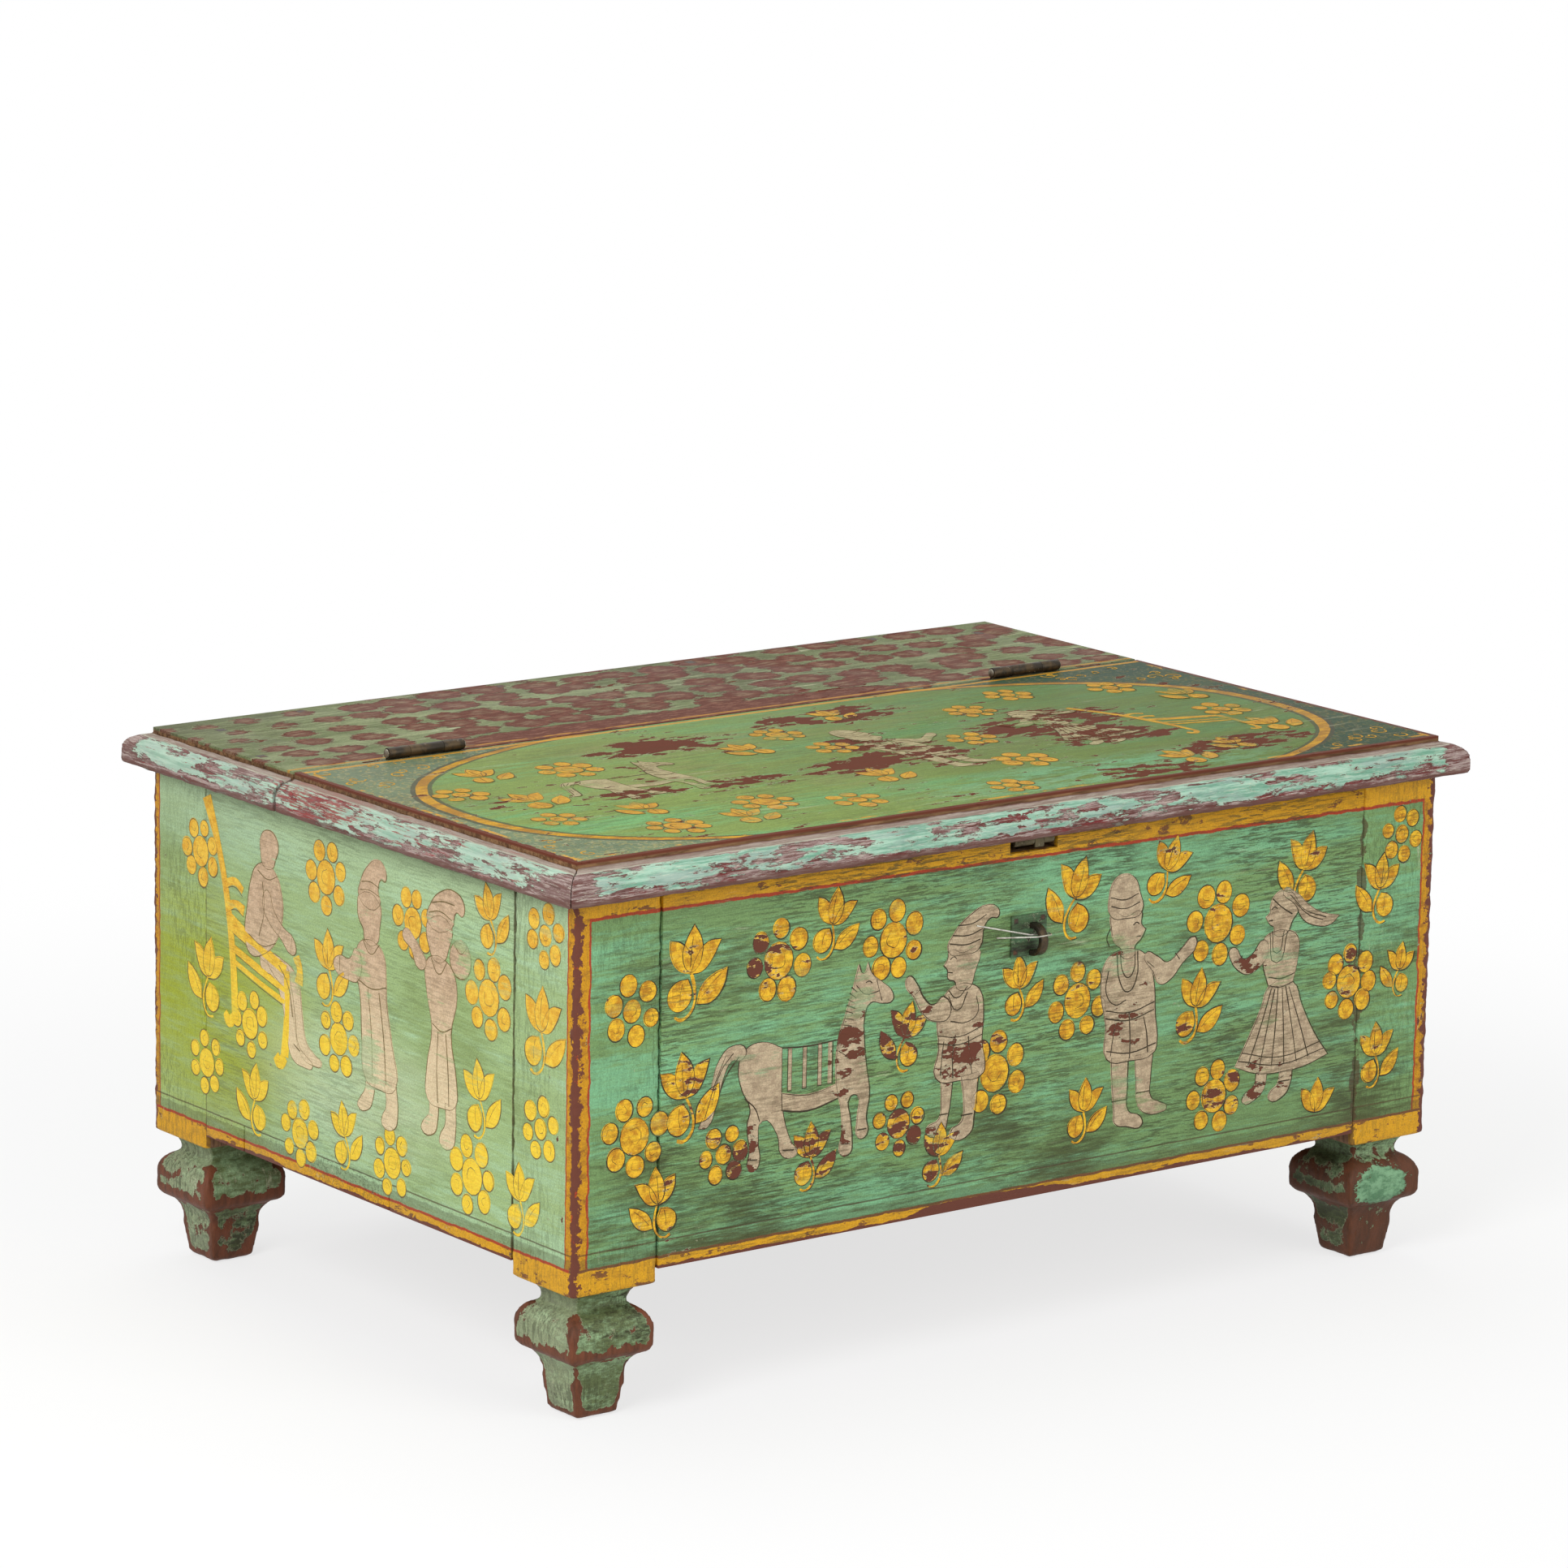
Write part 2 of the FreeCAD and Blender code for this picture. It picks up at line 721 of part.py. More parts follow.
def tie_wire():
    """A hairpin of wire hung round the staple's bow, with both ends out to the left."""
    room = wire_clearance + wire_radius
    outer_y = bow_centre_y - sqrt(bow_radius ** 2 - (wire_above_staple - wire_radius) ** 2) - room
    inner_y = bow_centre_y - sqrt(eye_radius ** 2 - (wire_above_staple + wire_radius) ** 2) + room
    loop_radius = (inner_y - outer_y) / 2
    level = staple_z + wire_above_staple
    loop_x = staple_x + staple_width / 2 + loop_radius
    kink_x = loop_x - loop_radius - wire_level_length
    points = [V(kink_x - wire_outer_length, outer_y, level + wire_outer_rise),
              V(kink_x, outer_y, level),
              V(loop_x, outer_y, level),
              V(loop_x, inner_y, level),
              V(kink_x, inner_y, level),
              V(kink_x - wire_inner_length, inner_y, level + wire_inner_rise)]
    bend_radius = loop_radius * wire_bend_share
    path = rounded_path(points, (wire_kink_radius, bend_radius, bend_radius, wire_kink_radius))
    ring = Part.makeCircle(wire_radius, points[0], points[1] - points[0])
    section = Part.makePolygon(ring.discretize(wire_sides + 1))
    return path.makePipeShell([section], True, False)


def all_parts():
    in_floor = floor_nails()
    in_top = top_nails()
    in_plate = plate_nails()
    slots = staple_slots()
    under_lid = hasp_nails()

    parts = {}
    for name, post in posts().items():
        parts[name] = pierced(post, in_top) if "rear" in name else post
    for name, panel in panels().items():
        parts[name] = pierced(panel, in_floor + in_top)
    parts["front_panel"] = pierced(parts["front_panel"], in_plate + slots)
    for name, plank in floor_boards().items():
        parts[name] = pierced(plank, in_floor)
    parts["floor_nails"] = Part.makeCompound(in_floor)

    rear_edge_of_lid = joint_behind_middle - joint_gap / 2
    front_edge_of_rear_board = joint_behind_middle + joint_gap / 2
    parts["rear_top_board"] = pierced(rear_top_board(), in_top)
    parts["top_board_nails"] = Part.makeCompound(in_top)
    parts.update(mouldings("rear_moulding_", 1, "back", front_edge_of_rear_board))
    parts["lid_board"] = pierced(lid_board(), under_lid)
    parts.update(mouldings("lid_moulding_", -1, "front", rear_edge_of_lid))

    parts.update(hinges())
    parts["hinge_nails_fixed"] = Part.makeCompound(hinge_nails(1, 0))
    parts["hinge_nails_lid"] = Part.makeCompound(hinge_nails(-1, 0))

    parts["lock_plate"] = pierced(lock_plate(), in_plate + slots)
    parts["lock_plate_nails"] = Part.makeCompound(in_plate)
    parts["lock_staple"] = lock_staple()
    parts["hasp_leaf"] = pierced(hasp_leaf(), under_lid)
    parts["hasp_pin"] = hasp_pin()
    parts["hasp_strap_stub"] = hasp_strap_stub()
    parts["hasp_nails"] = Part.makeCompound(under_lid)
    parts["tie_wire"] = tie_wire()
    return parts


os.makedirs("parts", exist_ok=True)
for node, shape in all_parts().items():
    if not shape.isValid():
        raise ValueError(node + " is not a valid solid")
    shape.exportStep("parts/" + node + ".step")
    print(node, len(shape.Solids), round(shape.Volume))
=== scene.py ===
import bpy
import math
import random
from mathutils import Matrix, Vector


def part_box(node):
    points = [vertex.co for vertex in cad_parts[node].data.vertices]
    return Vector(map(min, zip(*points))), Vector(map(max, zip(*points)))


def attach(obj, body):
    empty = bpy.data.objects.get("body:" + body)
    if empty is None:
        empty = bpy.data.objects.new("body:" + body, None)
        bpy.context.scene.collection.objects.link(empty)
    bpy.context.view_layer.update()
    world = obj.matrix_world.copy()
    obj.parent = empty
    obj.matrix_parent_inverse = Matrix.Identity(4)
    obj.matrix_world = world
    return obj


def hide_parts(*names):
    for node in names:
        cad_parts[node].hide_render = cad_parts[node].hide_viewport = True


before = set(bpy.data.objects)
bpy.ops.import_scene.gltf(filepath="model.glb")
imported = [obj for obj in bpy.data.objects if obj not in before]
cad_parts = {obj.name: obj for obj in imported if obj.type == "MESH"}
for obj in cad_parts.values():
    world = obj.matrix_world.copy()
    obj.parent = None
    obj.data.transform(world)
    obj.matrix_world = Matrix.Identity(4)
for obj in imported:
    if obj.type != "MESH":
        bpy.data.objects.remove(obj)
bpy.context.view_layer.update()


# Corner posts: each is one square length of wood whose lower end is carved into a foot.
# They are painted with the rest of the carcase, and their arrises and toes are worn to the
# red-brown undercoat by a century of knocks.

MM = 0.001
post_low, post_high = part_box("corner_post_front_left")
half_width = -post_low.x
half_depth = -post_low.y
carcase_top = post_high.z
post_size = post_high.x - post_low.x
block_underside = 115 * MM
GRAIN_X = (0.1, 1.0, 1.0)
GRAIN_Y = (1.0, 0.1, 1.0)
GRAIN_Z = (1.0, 1.0, 0.16)


def only(piece):
    """Makes one object the selected and active one."""
    bpy.ops.object.select_all(action="DESELECT")
    piece.select_set(True)
    bpy.context.view_layer.objects.active = piece


def modify(piece, kind, **settings):
    """Adds one modifier to a piece and applies it."""
    only(piece)
    modifier = piece.modifiers.new(kind.lower(), kind)
    for name, value in settings.items():
        setattr(modifier, name, value)
    bpy.ops.object.modifier_apply(modifier=modifier.name)


def shaped_copy(node, suffix):
    """A copy of a CAD node's mesh, with its loose triangles merged into whole faces."""
    piece = bpy.data.objects.new(node + suffix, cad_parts[node].data.copy())
    bpy.context.scene.collection.objects.link(piece)
    piece.data.materials.clear()
    only(piece)
    bpy.ops.mesh.customdata_custom_splitnormals_clear()
    bpy.ops.object.mode_set(mode="EDIT")
    bpy.ops.mesh.select_all(action="SELECT")
    bpy.ops.mesh.remove_doubles(threshold=0.01 * MM)
    bpy.ops.mesh.dissolve_limited(angle_limit=math.radians(1))
    bpy.ops.object.mode_set(mode="OBJECT")
    return piece


def rounded_copy(node, suffix, width):
    """A copy whose sharp edges are eased by a small bevel."""
    piece = shaped_copy(node, suffix)
    modify(piece, "BEVEL", width=width, segments=2, limit_method="ANGLE",
           angle_limit=math.radians(40), use_clamp_overlap=True)
    bpy.ops.object.shade_smooth_by_angle(angle=math.radians(35))
    return piece


def worn_copy(node, suffix, voxel, weight_at, depth, grain):
    """A copy remeshed finely, softened, and knocked back where weight_at says that it is worn."""
    piece = shaped_copy(node, suffix)
    modify(piece, "REMESH", mode="VOXEL", voxel_size=voxel, use_smooth_shade=True)
    modify(piece, "SMOOTH", factor=0.5, iterations=3)
    group = piece.vertex_groups.new(name="worn")
    for vertex in piece.data.vertices:
        weight = weight_at(vertex.co)
        if weight > 0:
            group.add([vertex.index], weight, "REPLACE")
    texture = bpy.data.textures.new(node + "_knocks", "CLOUDS")
    texture.noise_scale = grain
    texture.noise_depth = 3
    modify(piece, "DISPLACE", texture=texture, texture_coords="LOCAL", strength=depth,
           mid_level=0.72, vertex_group="worn")
    return piece


def settle(piece, material, body, slot, *nodes):
    """Gives a finished piece its material and its body, and hides the nodes it stands for; slot is not
    used.
    """
    piece.data.materials.clear()
    piece.data.materials.append(material)
    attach(piece, body)
    if nodes:
        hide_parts(*nodes)


def shade(red, green, blue):
    """A colour as it is seen, 0 to 255 each, turned into the light values that shaders use."""
    def light(part):
        part = part / 255
        return part / 12.92 if part <= 0.04045 else ((part + 0.055) / 1.055) ** 2.4
    return light(red), light(green), light(blue), 1.0


def feed(tree, socket, value):
    """Links a socket to another one, or sets its plain value."""
    if isinstance(value, bpy.types.NodeSocket):
        tree.links.new(value, socket)
    else:
        socket.default_value = value


def figure(tree, operation, *values):
    """A Math node on values or links."""
    node = tree.nodes.new("ShaderNodeMath")
    node.operation = operation
    for socket, value in zip(node.inputs, values):
        feed(tree, socket, value)
    return node.outputs[0]


def times(tree, first, second):
    """One value, or link, times another."""
    return figure(tree, "MULTIPLY", first, second)


def plus(tree, first, second):
    """One value, or link, added to another."""
    return figure(tree, "ADD", first, second)


def minus(tree, first, second):
    """One value, or link, less another."""
    return figure(tree, "SUBTRACT", first, second)


def larger(tree, first, second):
    """The larger of two values or links."""
    return figure(tree, "MAXIMUM", first, second)


def unsigned(tree, value):
    """A value, or link, without its sign."""
    return figure(tree, "ABSOLUTE", value)


def raised(tree, base, mask, amount):
    """A base value, raised by an amount where the mask is full."""
    return plus(tree, base, times(tree, mask, amount))


def stretch(tree, vector, scale):
    """A place measured more coarsely or finely along each axis, to draw marks out along the grain."""
    node = tree.nodes.new("ShaderNodeVectorMath")
    node.operation = "MULTIPLY"
    feed(tree, node.inputs[0], vector)
    feed(tree, node.inputs[1], scale)
    return node.outputs[0]


def axes(tree, vector):
    """The three measures of a place: across, back and up."""
    node = tree.nodes.new("ShaderNodeSeparateXYZ")
    feed(tree, node.inputs[0], vector)
    return node.outputs[0], node.outputs[1], node.outputs[2]


def ramp(tree, value, low, high):
    """Eases from 0 at low to 1 at high, or back down where low is the larger."""
    node = tree.nodes.new("ShaderNodeMapRange")
    node.interpolation_type = "SMOOTHSTEP"
    feed(tree, node.inputs["Value"], value)
    feed(tree, node.inputs["From Min"], low)
    feed(tree, node.inputs["From Max"], high)
    return node.outputs[0]


def noise(tree, vector, scale, detail=3.0, roughness=0.55, distortion=0.0):
    """Clouds from 0 to 1; scale is in clouds to the metre."""
    node = tree.nodes.new("ShaderNodeTexNoise")
    feed(tree, node.inputs["Vector"], vector)
    feed(tree, node.inputs["Scale"], scale)
    feed(tree, node.inputs["Detail"], detail)
    feed(tree, node.inputs["Roughness"], roughness)
    feed(tree, node.inputs["Distortion"], distortion)
    return node.outputs[0]


def blend(tree, mask, under, over, amount=None, kind="MIX"):
    """One colour laid over another by a mask, or by an amount of that mask."""
    if amount is not None:
        mask = times(tree, mask, amount)
    node = tree.nodes.new("ShaderNodeMix")
    node.data_type = "RGBA"
    node.blend_type = kind
    feed(tree, node.inputs[0], mask)
    feed(tree, node.inputs[6], under)
    feed(tree, node.inputs[7], over)
    return node.outputs[2]


def new_group(name, inputs, outputs):
    """An empty shader group with named sockets; returns its tree and both ends."""
    tree = bpy.data.node_groups.new(name, "ShaderNodeTree")
    for label, kind in inputs.items():
        tree.interface.new_socket(label, in_out="INPUT", socket_type="NodeSocket" + kind)
    for label, kind in outputs.items():
        tree.interface.new_socket(label, in_out="OUTPUT", socket_type="NodeSocket" + kind)
    start = tree.nodes.new("NodeGroupInput")
    end = tree.nodes.new("NodeGroupOutput")
    return tree, start.outputs, end.inputs


def use(tree, group, **values):
    """Places a group in a tree and feeds its sockets; returns its outputs."""
    node = tree.nodes.new("ShaderNodeGroup")
    node.node_tree = group
    for label, value in values.items():
        feed(tree, node.inputs[label], value)
    return node.outputs


def washed_field_group():
    """Brushed ground colour: two tints in long strokes, and clouds of dark patina among them."""
    tree, start, end = new_group(
        "washed_field",
        {"Vector": "Vector", "Stretch": "Vector", "Main": "Color", "Cool": "Color", "Dark": "Color",
         "Patina": "Float"},
        {"Color": "Color"})
    along = stretch(tree, start["Vector"], start["Stretch"])
    broad = noise(tree, along, 26.0, 3.0, 0.6)
    dry_brush = noise(tree, along, 260.0, 5.0, 0.75)
    strokes = raised(tree, times(tree, broad, 0.55), dry_brush, 0.45)
    colour = blend(tree, ramp(tree, strokes, 0.45, 0.61), start["Main"], start["Cool"])
    cloud = noise(tree, stretch(tree, start["Vector"], (0.6, 0.6, 1.3)), 7.5, 3.0)
    bristle = noise(tree, stretch(tree, along, (1.1, 1.1, 1.1)), 230.0, 6.0, 0.78)
    grime = raised(tree, times(tree, cloud, 0.6), bristle, 0.5)
    patina = times(tree, ramp(tree, grime, 0.53, 0.68), start["Patina"])
    feed(tree, end["Color"], blend(tree, patina, colour, start["Dark"]))
    return tree


def wear_group():
    """Age on any paint: dark hairlines along the grain, pale scuffs, and chips down to the undercoat."""
    tree, start, end = new_group(
        "wear",
        {"Vector": "Vector", "Stretch": "Vector", "Paint": "Color", "Bare": "Color", "Pale": "Color",
         "Dark": "Color", "Streaks": "Float", "Scuffs": "Float", "Chips": "Float"},
        {"Color": "Color", "Roughness": "Float", "Height": "Float"})
    along = stretch(tree, start["Vector"], start["Stretch"])
    hair = ramp(tree, noise(tree, stretch(tree, along, (0.7, 0.7, 0.7)), 520.0, 4.0, 0.7), 0.51, 0.58)
    crisp = ramp(tree, noise(tree, stretch(tree, along, (0.5, 0.5, 1.0)), 620.0, 3.0, 0.6), 0.55, 0.60)
    hair = larger(tree, hair, times(tree, crisp, 0.9))
    thick = ramp(tree, noise(tree, start["Vector"], 11.0, 3.0), 0.38, 0.62)
    thick = raised(tree, 0.35, thick, 0.65)
    hair = times(tree, times(tree, hair, thick), start["Streaks"])
    colour = blend(tree, hair, start["Paint"], start["Dark"])
    rub = ramp(tree, noise(tree, stretch(tree, along, (1.0, 1.0, 1.3)), 110.0, 7.0, 0.78), 0.56, 0.68)
    patch = ramp(tree, noise(tree, start["Vector"], 8.0, 2.0), 0.48, 0.64)
    scuff = times(tree, times(tree, rub, patch), start["Scuffs"])
    colour = blend(tree, scuff, colour, start["Pale"])
    fine = noise(tree, start["Vector"], 700.0, 3.0, 0.65)
    tone = ramp(tree, fine, 0.25, 0.75)
    colour = blend(tree, 0.22, colour, blend(tree, tone, (0.0, 0.0, 0.0, 1.0), (1.0, 1.0, 1.0, 1.0)),
                   kind="OVERLAY")
    loose = tree.nodes.new("ShaderNodeVectorMath")
    loose.operation = "MULTIPLY_ADD"
    feed(tree, loose.inputs[0], along)
    loose.inputs[1].default_value = (1.3, 1.3, 1.3)
    feed(tree, loose.inputs[2], stretch(tree, start["Vector"], (0.7, 0.7, 0.7)))
    flake = noise(tree, loose.outputs[0], 52.0, 6.0, 0.6, 0.2)
    region = minus(tree, noise(tree, start["Vector"], 13.0, 2.0), 0.5)
    flake = raised(tree, flake, region, 0.6)
    limit = minus(tree, 0.82, times(tree, start["Chips"], 0.40))
    rim_limit = minus(tree, limit, 0.025)
    chip = ramp(tree, flake, limit, plus(tree, limit, 0.012))
    rim = minus(tree, ramp(tree, flake, rim_limit, limit), chip)
    colour = blend(tree, rim, colour, start["Pale"], 0.45)
    bare_tone = blend(tree, ramp(tree, noise(tree, along, 160.0, 4.0), 0.3, 0.7), start["Bare"],
                      start["Dark"])
    bare = blend(tree, 0.15, start["Bare"], bare_tone)
    feed(tree, end["Color"], blend(tree, chip, colour, bare))
    rough = raised(tree, 0.46, chip, 0.22)
    feed(tree, end["Roughness"], raised(tree, rough, fine, 0.14))
    height = minus(tree, 1.0, chip)
    height = minus(tree, height, times(tree, hair, 0.35))
    feed(tree, end["Height"], raised(tree, height, fine, 0.25))
    return tree


def stripe_group():
    """A hand-painted stripe between two places on one coordinate, with slightly wavering edges."""
    tree, start, end = new_group(
        "stripe", {"Vector": "Vector", "Place": "Float", "Low": "Float", "High": "Float", "Waver": "Float"},
        {"Mask": "Float"})
    waver = minus(tree, noise(tree, start["Vector"], 75.0, 3.0), 0.5)
    place = raised(tree, start["Place"], waver, start["Waver"])
    soft = 0.4 * MM
    low = ramp(tree, place, minus(tree, start["Low"], soft), plus(tree, start["Low"], soft))
    high = ramp(tree, place, plus(tree, start["High"], soft), minus(tree, start["High"], soft))
    feed(tree, end["Mask"], times(tree, low, high))
    return tree


def spot(tree, first, second, centre, reach):
    """A soft round patch on a face: 1 at its centre and 0 at its reach."""
    across = figure(tree, "DIVIDE", minus(tree, first, centre[0]), reach[0])
    down = figure(tree, "DIVIDE", minus(tree, second, centre[1]), reach[1])
    far = plus(tree, times(tree, across, across), times(tree, down, down))
    return ramp(tree, far, 1.0, 0.0)


washed_field = washed_field_group()
wear = wear_group()
stripe = stripe_group()

undercoat = shade(100, 54, 40)
dark_patina = shade(58, 62, 36)
pale_scuff = shade(188, 190, 158)
ochre = shade(194, 138, 20)
vermilion = shade(160, 58, 30)
paint_depth = 6 * MM
top_band_low = 435.5 * MM
top_band_slope = 0.009
low_band_top = 137 * MM
floor_joint = 152 * MM


def washed(tree, vector, grain, main, cool, dark, patina):
    """The brushed ground colour at a place."""
    return use(tree, washed_field, Vector=vector, Stretch=grain, Main=main, Cool=cool, Dark=dark,
               Patina=patina)[0]


def aged(tree, vector, grain, paint, streaks, scuffs, chips, bare=undercoat, dark=dark_patina):
    """A paint with its wear; gives its colour, roughness and height."""
    return use(tree, wear, Vector=vector, Stretch=grain, Paint=paint, Bare=bare, Pale=pale_scuff, Dark=dark,
               Streaks=streaks, Scuffs=scuffs, Chips=chips)


def stripe_mask(tree, vector, place, low, high, waver):
    """1 where a painted stripe lies between two places, else 0."""
    return use(tree, stripe, Vector=vector, Place=place, Low=low, High=high, Waver=waver)[0]


def carcase_paint_group():
    """Ground colours of front and sides with their painted borders, laid out by place on the carcase."""
    tree, start, end = new_group("carcase_paint", {"Vector": "Vector"},
                                 {"Color": "Color", "Outside": "Float", "Arris": "Float"})
    vector = start["Vector"]
    x, y, z = axes(tree, vector)
    reach_x = unsigned(tree, x)
    reach_y = unsigned(tree, y)
    on_front = ramp(tree, reach_y, half_depth - paint_depth, half_depth - paint_depth + 2 * MM)
    on_side = ramp(tree, reach_x, half_width - paint_depth, half_width - paint_depth + 2 * MM)
    feed(tree, end["Outside"], larger(tree, on_front, on_side))
    from_end = minus(tree, half_width, reach_x)
    from_face = minus(tree, half_depth, reach_y)
    edge = raised(tree, from_end, from_face, 1.4)

    front = washed(tree, vector, GRAIN_X, shade(112, 144, 90), shade(118, 172, 128), shade(64, 68, 34),
                   patina=0.85)
    side = washed(tree, vector, GRAIN_Y, shade(150, 174, 120), shade(158, 188, 146), shade(118, 136, 78),
                  patina=0.6)
    # Towards the top the sides turn a paler teal: partly the paint's own tint, partly painted light against
    # the shade under the moulding.
    side = blend(tree, ramp(tree, z, 370 * MM, 440 * MM), side, shade(170, 194, 160), 0.5)
    bristle = ramp(tree, noise(tree, stretch(tree, vector, GRAIN_Y), 120.0, 5.0, 0.7), 0.1, 0.65)
    lime = times(tree, spot(tree, y, z, (240 * MM, 250 * MM), (215 * MM, 145 * MM)), bristle)
    side = blend(tree, lime, side, shade(152, 162, 34), 0.95)
    # A pale patch across the middle of the side: partly paler paint, partly a painted sheen.
    pale_paint_and_sheen = times(tree, spot(tree, y, z, (-10 * MM, 225 * MM), (210 * MM, 75 * MM)), bristle)
    side = blend(tree, pale_paint_and_sheen, side, shade(194, 208, 172), 0.5)
    colour = blend(tree, on_front, side, front)

    grimy = noise(tree, stretch(tree, vector, (0.4, 0.4, 1.0)), 150.0, 6.0, 0.76)
    yellow = blend(tree, ramp(tree, grimy, 0.30, 0.54), shade(140, 90, 28), ochre)
    facing = ramp(tree, y, 0.1, 0.0)
    top_low = minus(tree, top_band_low, times(tree, x, top_band_slope))
    top_red = stripe_mask(tree, vector, z, minus(tree, top_low, 3 * MM), carcase_top, waver=4 * MM)
    top_yellow = stripe_mask(tree, vector, z, top_low, carcase_top - 1.5 * MM, waver=5 * MM)
    end_red = stripe_mask(tree, vector, edge, 0.0, 16 * MM, waver=5 * MM)
    end_yellow = stripe_mask(tree, vector, edge, 4 * MM, 14 * MM, waver=7 * MM)
    on_face = times(tree, on_front, facing)
    colour = blend(tree, times(tree, top_red, on_face), colour, vermilion)
    colour = blend(tree, end_red, colour, vermilion)
    colour = blend(tree, end_yellow, colour, yellow)
    bright = blend(tree, 0.48, yellow, shade(220, 166, 32))
    colour = blend(tree, times(tree, top_yellow, on_face), colour, bright)
    shadow = stripe_mask(tree, vector, z, low_band_top - 1 * MM, low_band_top + 11 * MM, waver=5 * MM)
    colour = blend(tree, shadow, colour, shade(72, 70, 38), 0.4)
    low_line = stripe_mask(tree, vector, z, 0.0, low_band_top + 2.5 * MM, waver=3 * MM)
    low_yellow = stripe_mask(tree, vector, z, 0.0, low_band_top, waver=4 * MM)
    colour = blend(tree, low_line, colour, blend(tree, on_front, vermilion, shade(108, 70, 40)))
    colour = blend(tree, low_yellow, colour, bright)
    flaked = ramp(tree, noise(tree, stretch(tree, vector, (0.45, 0.45, 1.0)), 80.0, 6.0, 0.7), 0.58, 0.61)
    bands = larger(tree, times(tree, top_yellow, on_face), low_yellow)
    colour = blend(tree, times(tree, bands, flaked), colour, undercoat, 0.85)

    post_edge = half_width - post_size
    side_edge = half_depth - post_size
    torn = times(tree, ramp(tree, x, 0.0, 0.1), ramp(tree, z, 430 * MM, 410 * MM))
    torn = raised(tree, 0.35 * MM, torn,
                  times(tree, ramp(tree, noise(tree, vector, 30.0, 5.0, 0.7), 0.42, 0.62), 6 * MM))
    front_seam = stripe_mask(tree, vector, reach_x, minus(tree, post_edge, torn),
                             plus(tree, post_edge, torn), waver=1.5 * MM)
    side_seam = stripe_mask(tree, vector, reach_y, side_edge - 1 * MM, side_edge + 1 * MM, waver=2 * MM)
    floor_seam = stripe_mask(tree, vector, z, floor_joint - 0.7 * MM, floor_joint + 0.7 * MM, waver=1 * MM)
    seam = larger(tree, times(tree, front_seam, on_front),
                  times(tree, side_seam, minus(tree, 1.0, on_front)))
    seam = larger(tree, seam, floor_seam)
    colour = blend(tree, seam, colour, shade(76, 52, 32), 0.75)

    knocks = noise(tree, vector, 95.0, 5.0, 0.72)
    bare_reach = raised(tree, -8 * MM, knocks, 29 * MM)
    arris = ramp(tree, edge, plus(tree, bare_reach, 0.5 * MM), bare_reach)
    feed(tree, end["Arris"], arris)
    feed(tree, end["Color"], colour)
    return tree


carcase_paint = carcase_paint_group()


carcase_sheen = 0.22


def new_material(name, sheen=carcase_sheen):
    """A material with its shader; returns it, its tree, the shader and the object coordinates."""
    material = bpy.data.materials.new(name)
    material.use_nodes = True
    tree = material.node_tree
    tree.nodes.clear()
    shader = tree.nodes.new("ShaderNodeBsdfPrincipled")
    shader.inputs["Specular IOR Level"].default_value = sheen
    output = tree.nodes.new("ShaderNodeOutputMaterial")
    tree.links.new(shader.outputs[0], output.inputs[0])
    place = tree.nodes.new("ShaderNodeTexCoord").outputs["Object"]
    return material, tree, shader, place


def surface(tree, shader, colour, roughness, height, depth):
    """Feeds the shader's colour and roughness, and its normal from a relief of the given depth."""
    feed(tree, shader.inputs["Base Color"], colour)
    feed(tree, shader.inputs["Roughness"], roughness)
    bump = tree.nodes.new("ShaderNodeBump")
    bump.inputs["Distance"].default_value = depth
    feed(tree, bump.inputs["Height"], height)
    feed(tree, shader.inputs["Normal"], bump.outputs[0])


def raw_wood_group():
    """Bare aged plank: long dark grain, dust and a few stains."""
    tree, start, end = new_group("raw_wood", {"Vector": "Vector", "Stretch": "Vector"},
                                 {"Color": "Color"})
    along = stretch(tree, start["Vector"], start["Stretch"])
    grain = noise(tree, along, 240.0, 6.0, 0.65, 0.4)
    colour = blend(tree, ramp(tree, grain, 0.34, 0.66), shade(84, 58, 40), shade(142, 108, 76))
    stain = ramp(tree, noise(tree, start["Vector"], 9.0, 3.0), 0.42, 0.70)
    colour = blend(tree, stain, colour, shade(66, 48, 36), 0.45)
    feed(tree, end["Color"], colour)
    return tree


raw_wood = raw_wood_group()


def painted_carcase(name, grain, chips, streaks, scuffs=0.55):
    """Carcase paint outside and bare wood inside, for posts, panels and plank edges."""
    material, tree, shader, place = new_material(name)
    paint = use(tree, carcase_paint, Vector=place)
    worn = aged(tree, place, grain, paint["Color"], streaks=streaks, scuffs=scuffs, chips=chips)
    wood = use(tree, raw_wood, Vector=place, Stretch=grain)
    x, y, z = axes(tree, place)
    scraped = unsigned(tree, plus(tree, x, 35 * MM))
    scraped = times(tree, ramp(tree, scraped, 100 * MM, 55 * MM), ramp(tree, y, 0.0, -0.1))
    low_reach = raised(tree, 125 * MM, noise(tree, stretch(tree, place, (0.3, 0.3, 1.0)), 60.0, 5.0, 0.7),
                       12 * MM)
    low_reach = raised(tree, low_reach, scraped, 6 * MM)
    low_bare = ramp(tree, z, low_reach, minus(tree, low_reach, 0.6 * MM))
    colour = blend(tree, larger(tree, paint["Arris"], low_bare), worn["Color"], undercoat)
    colour = blend(tree, paint["Outside"], wood["Color"], colour)
    surface(tree, shader, colour, worn["Roughness"], worn["Height"], depth=0.5 * MM)
    return material


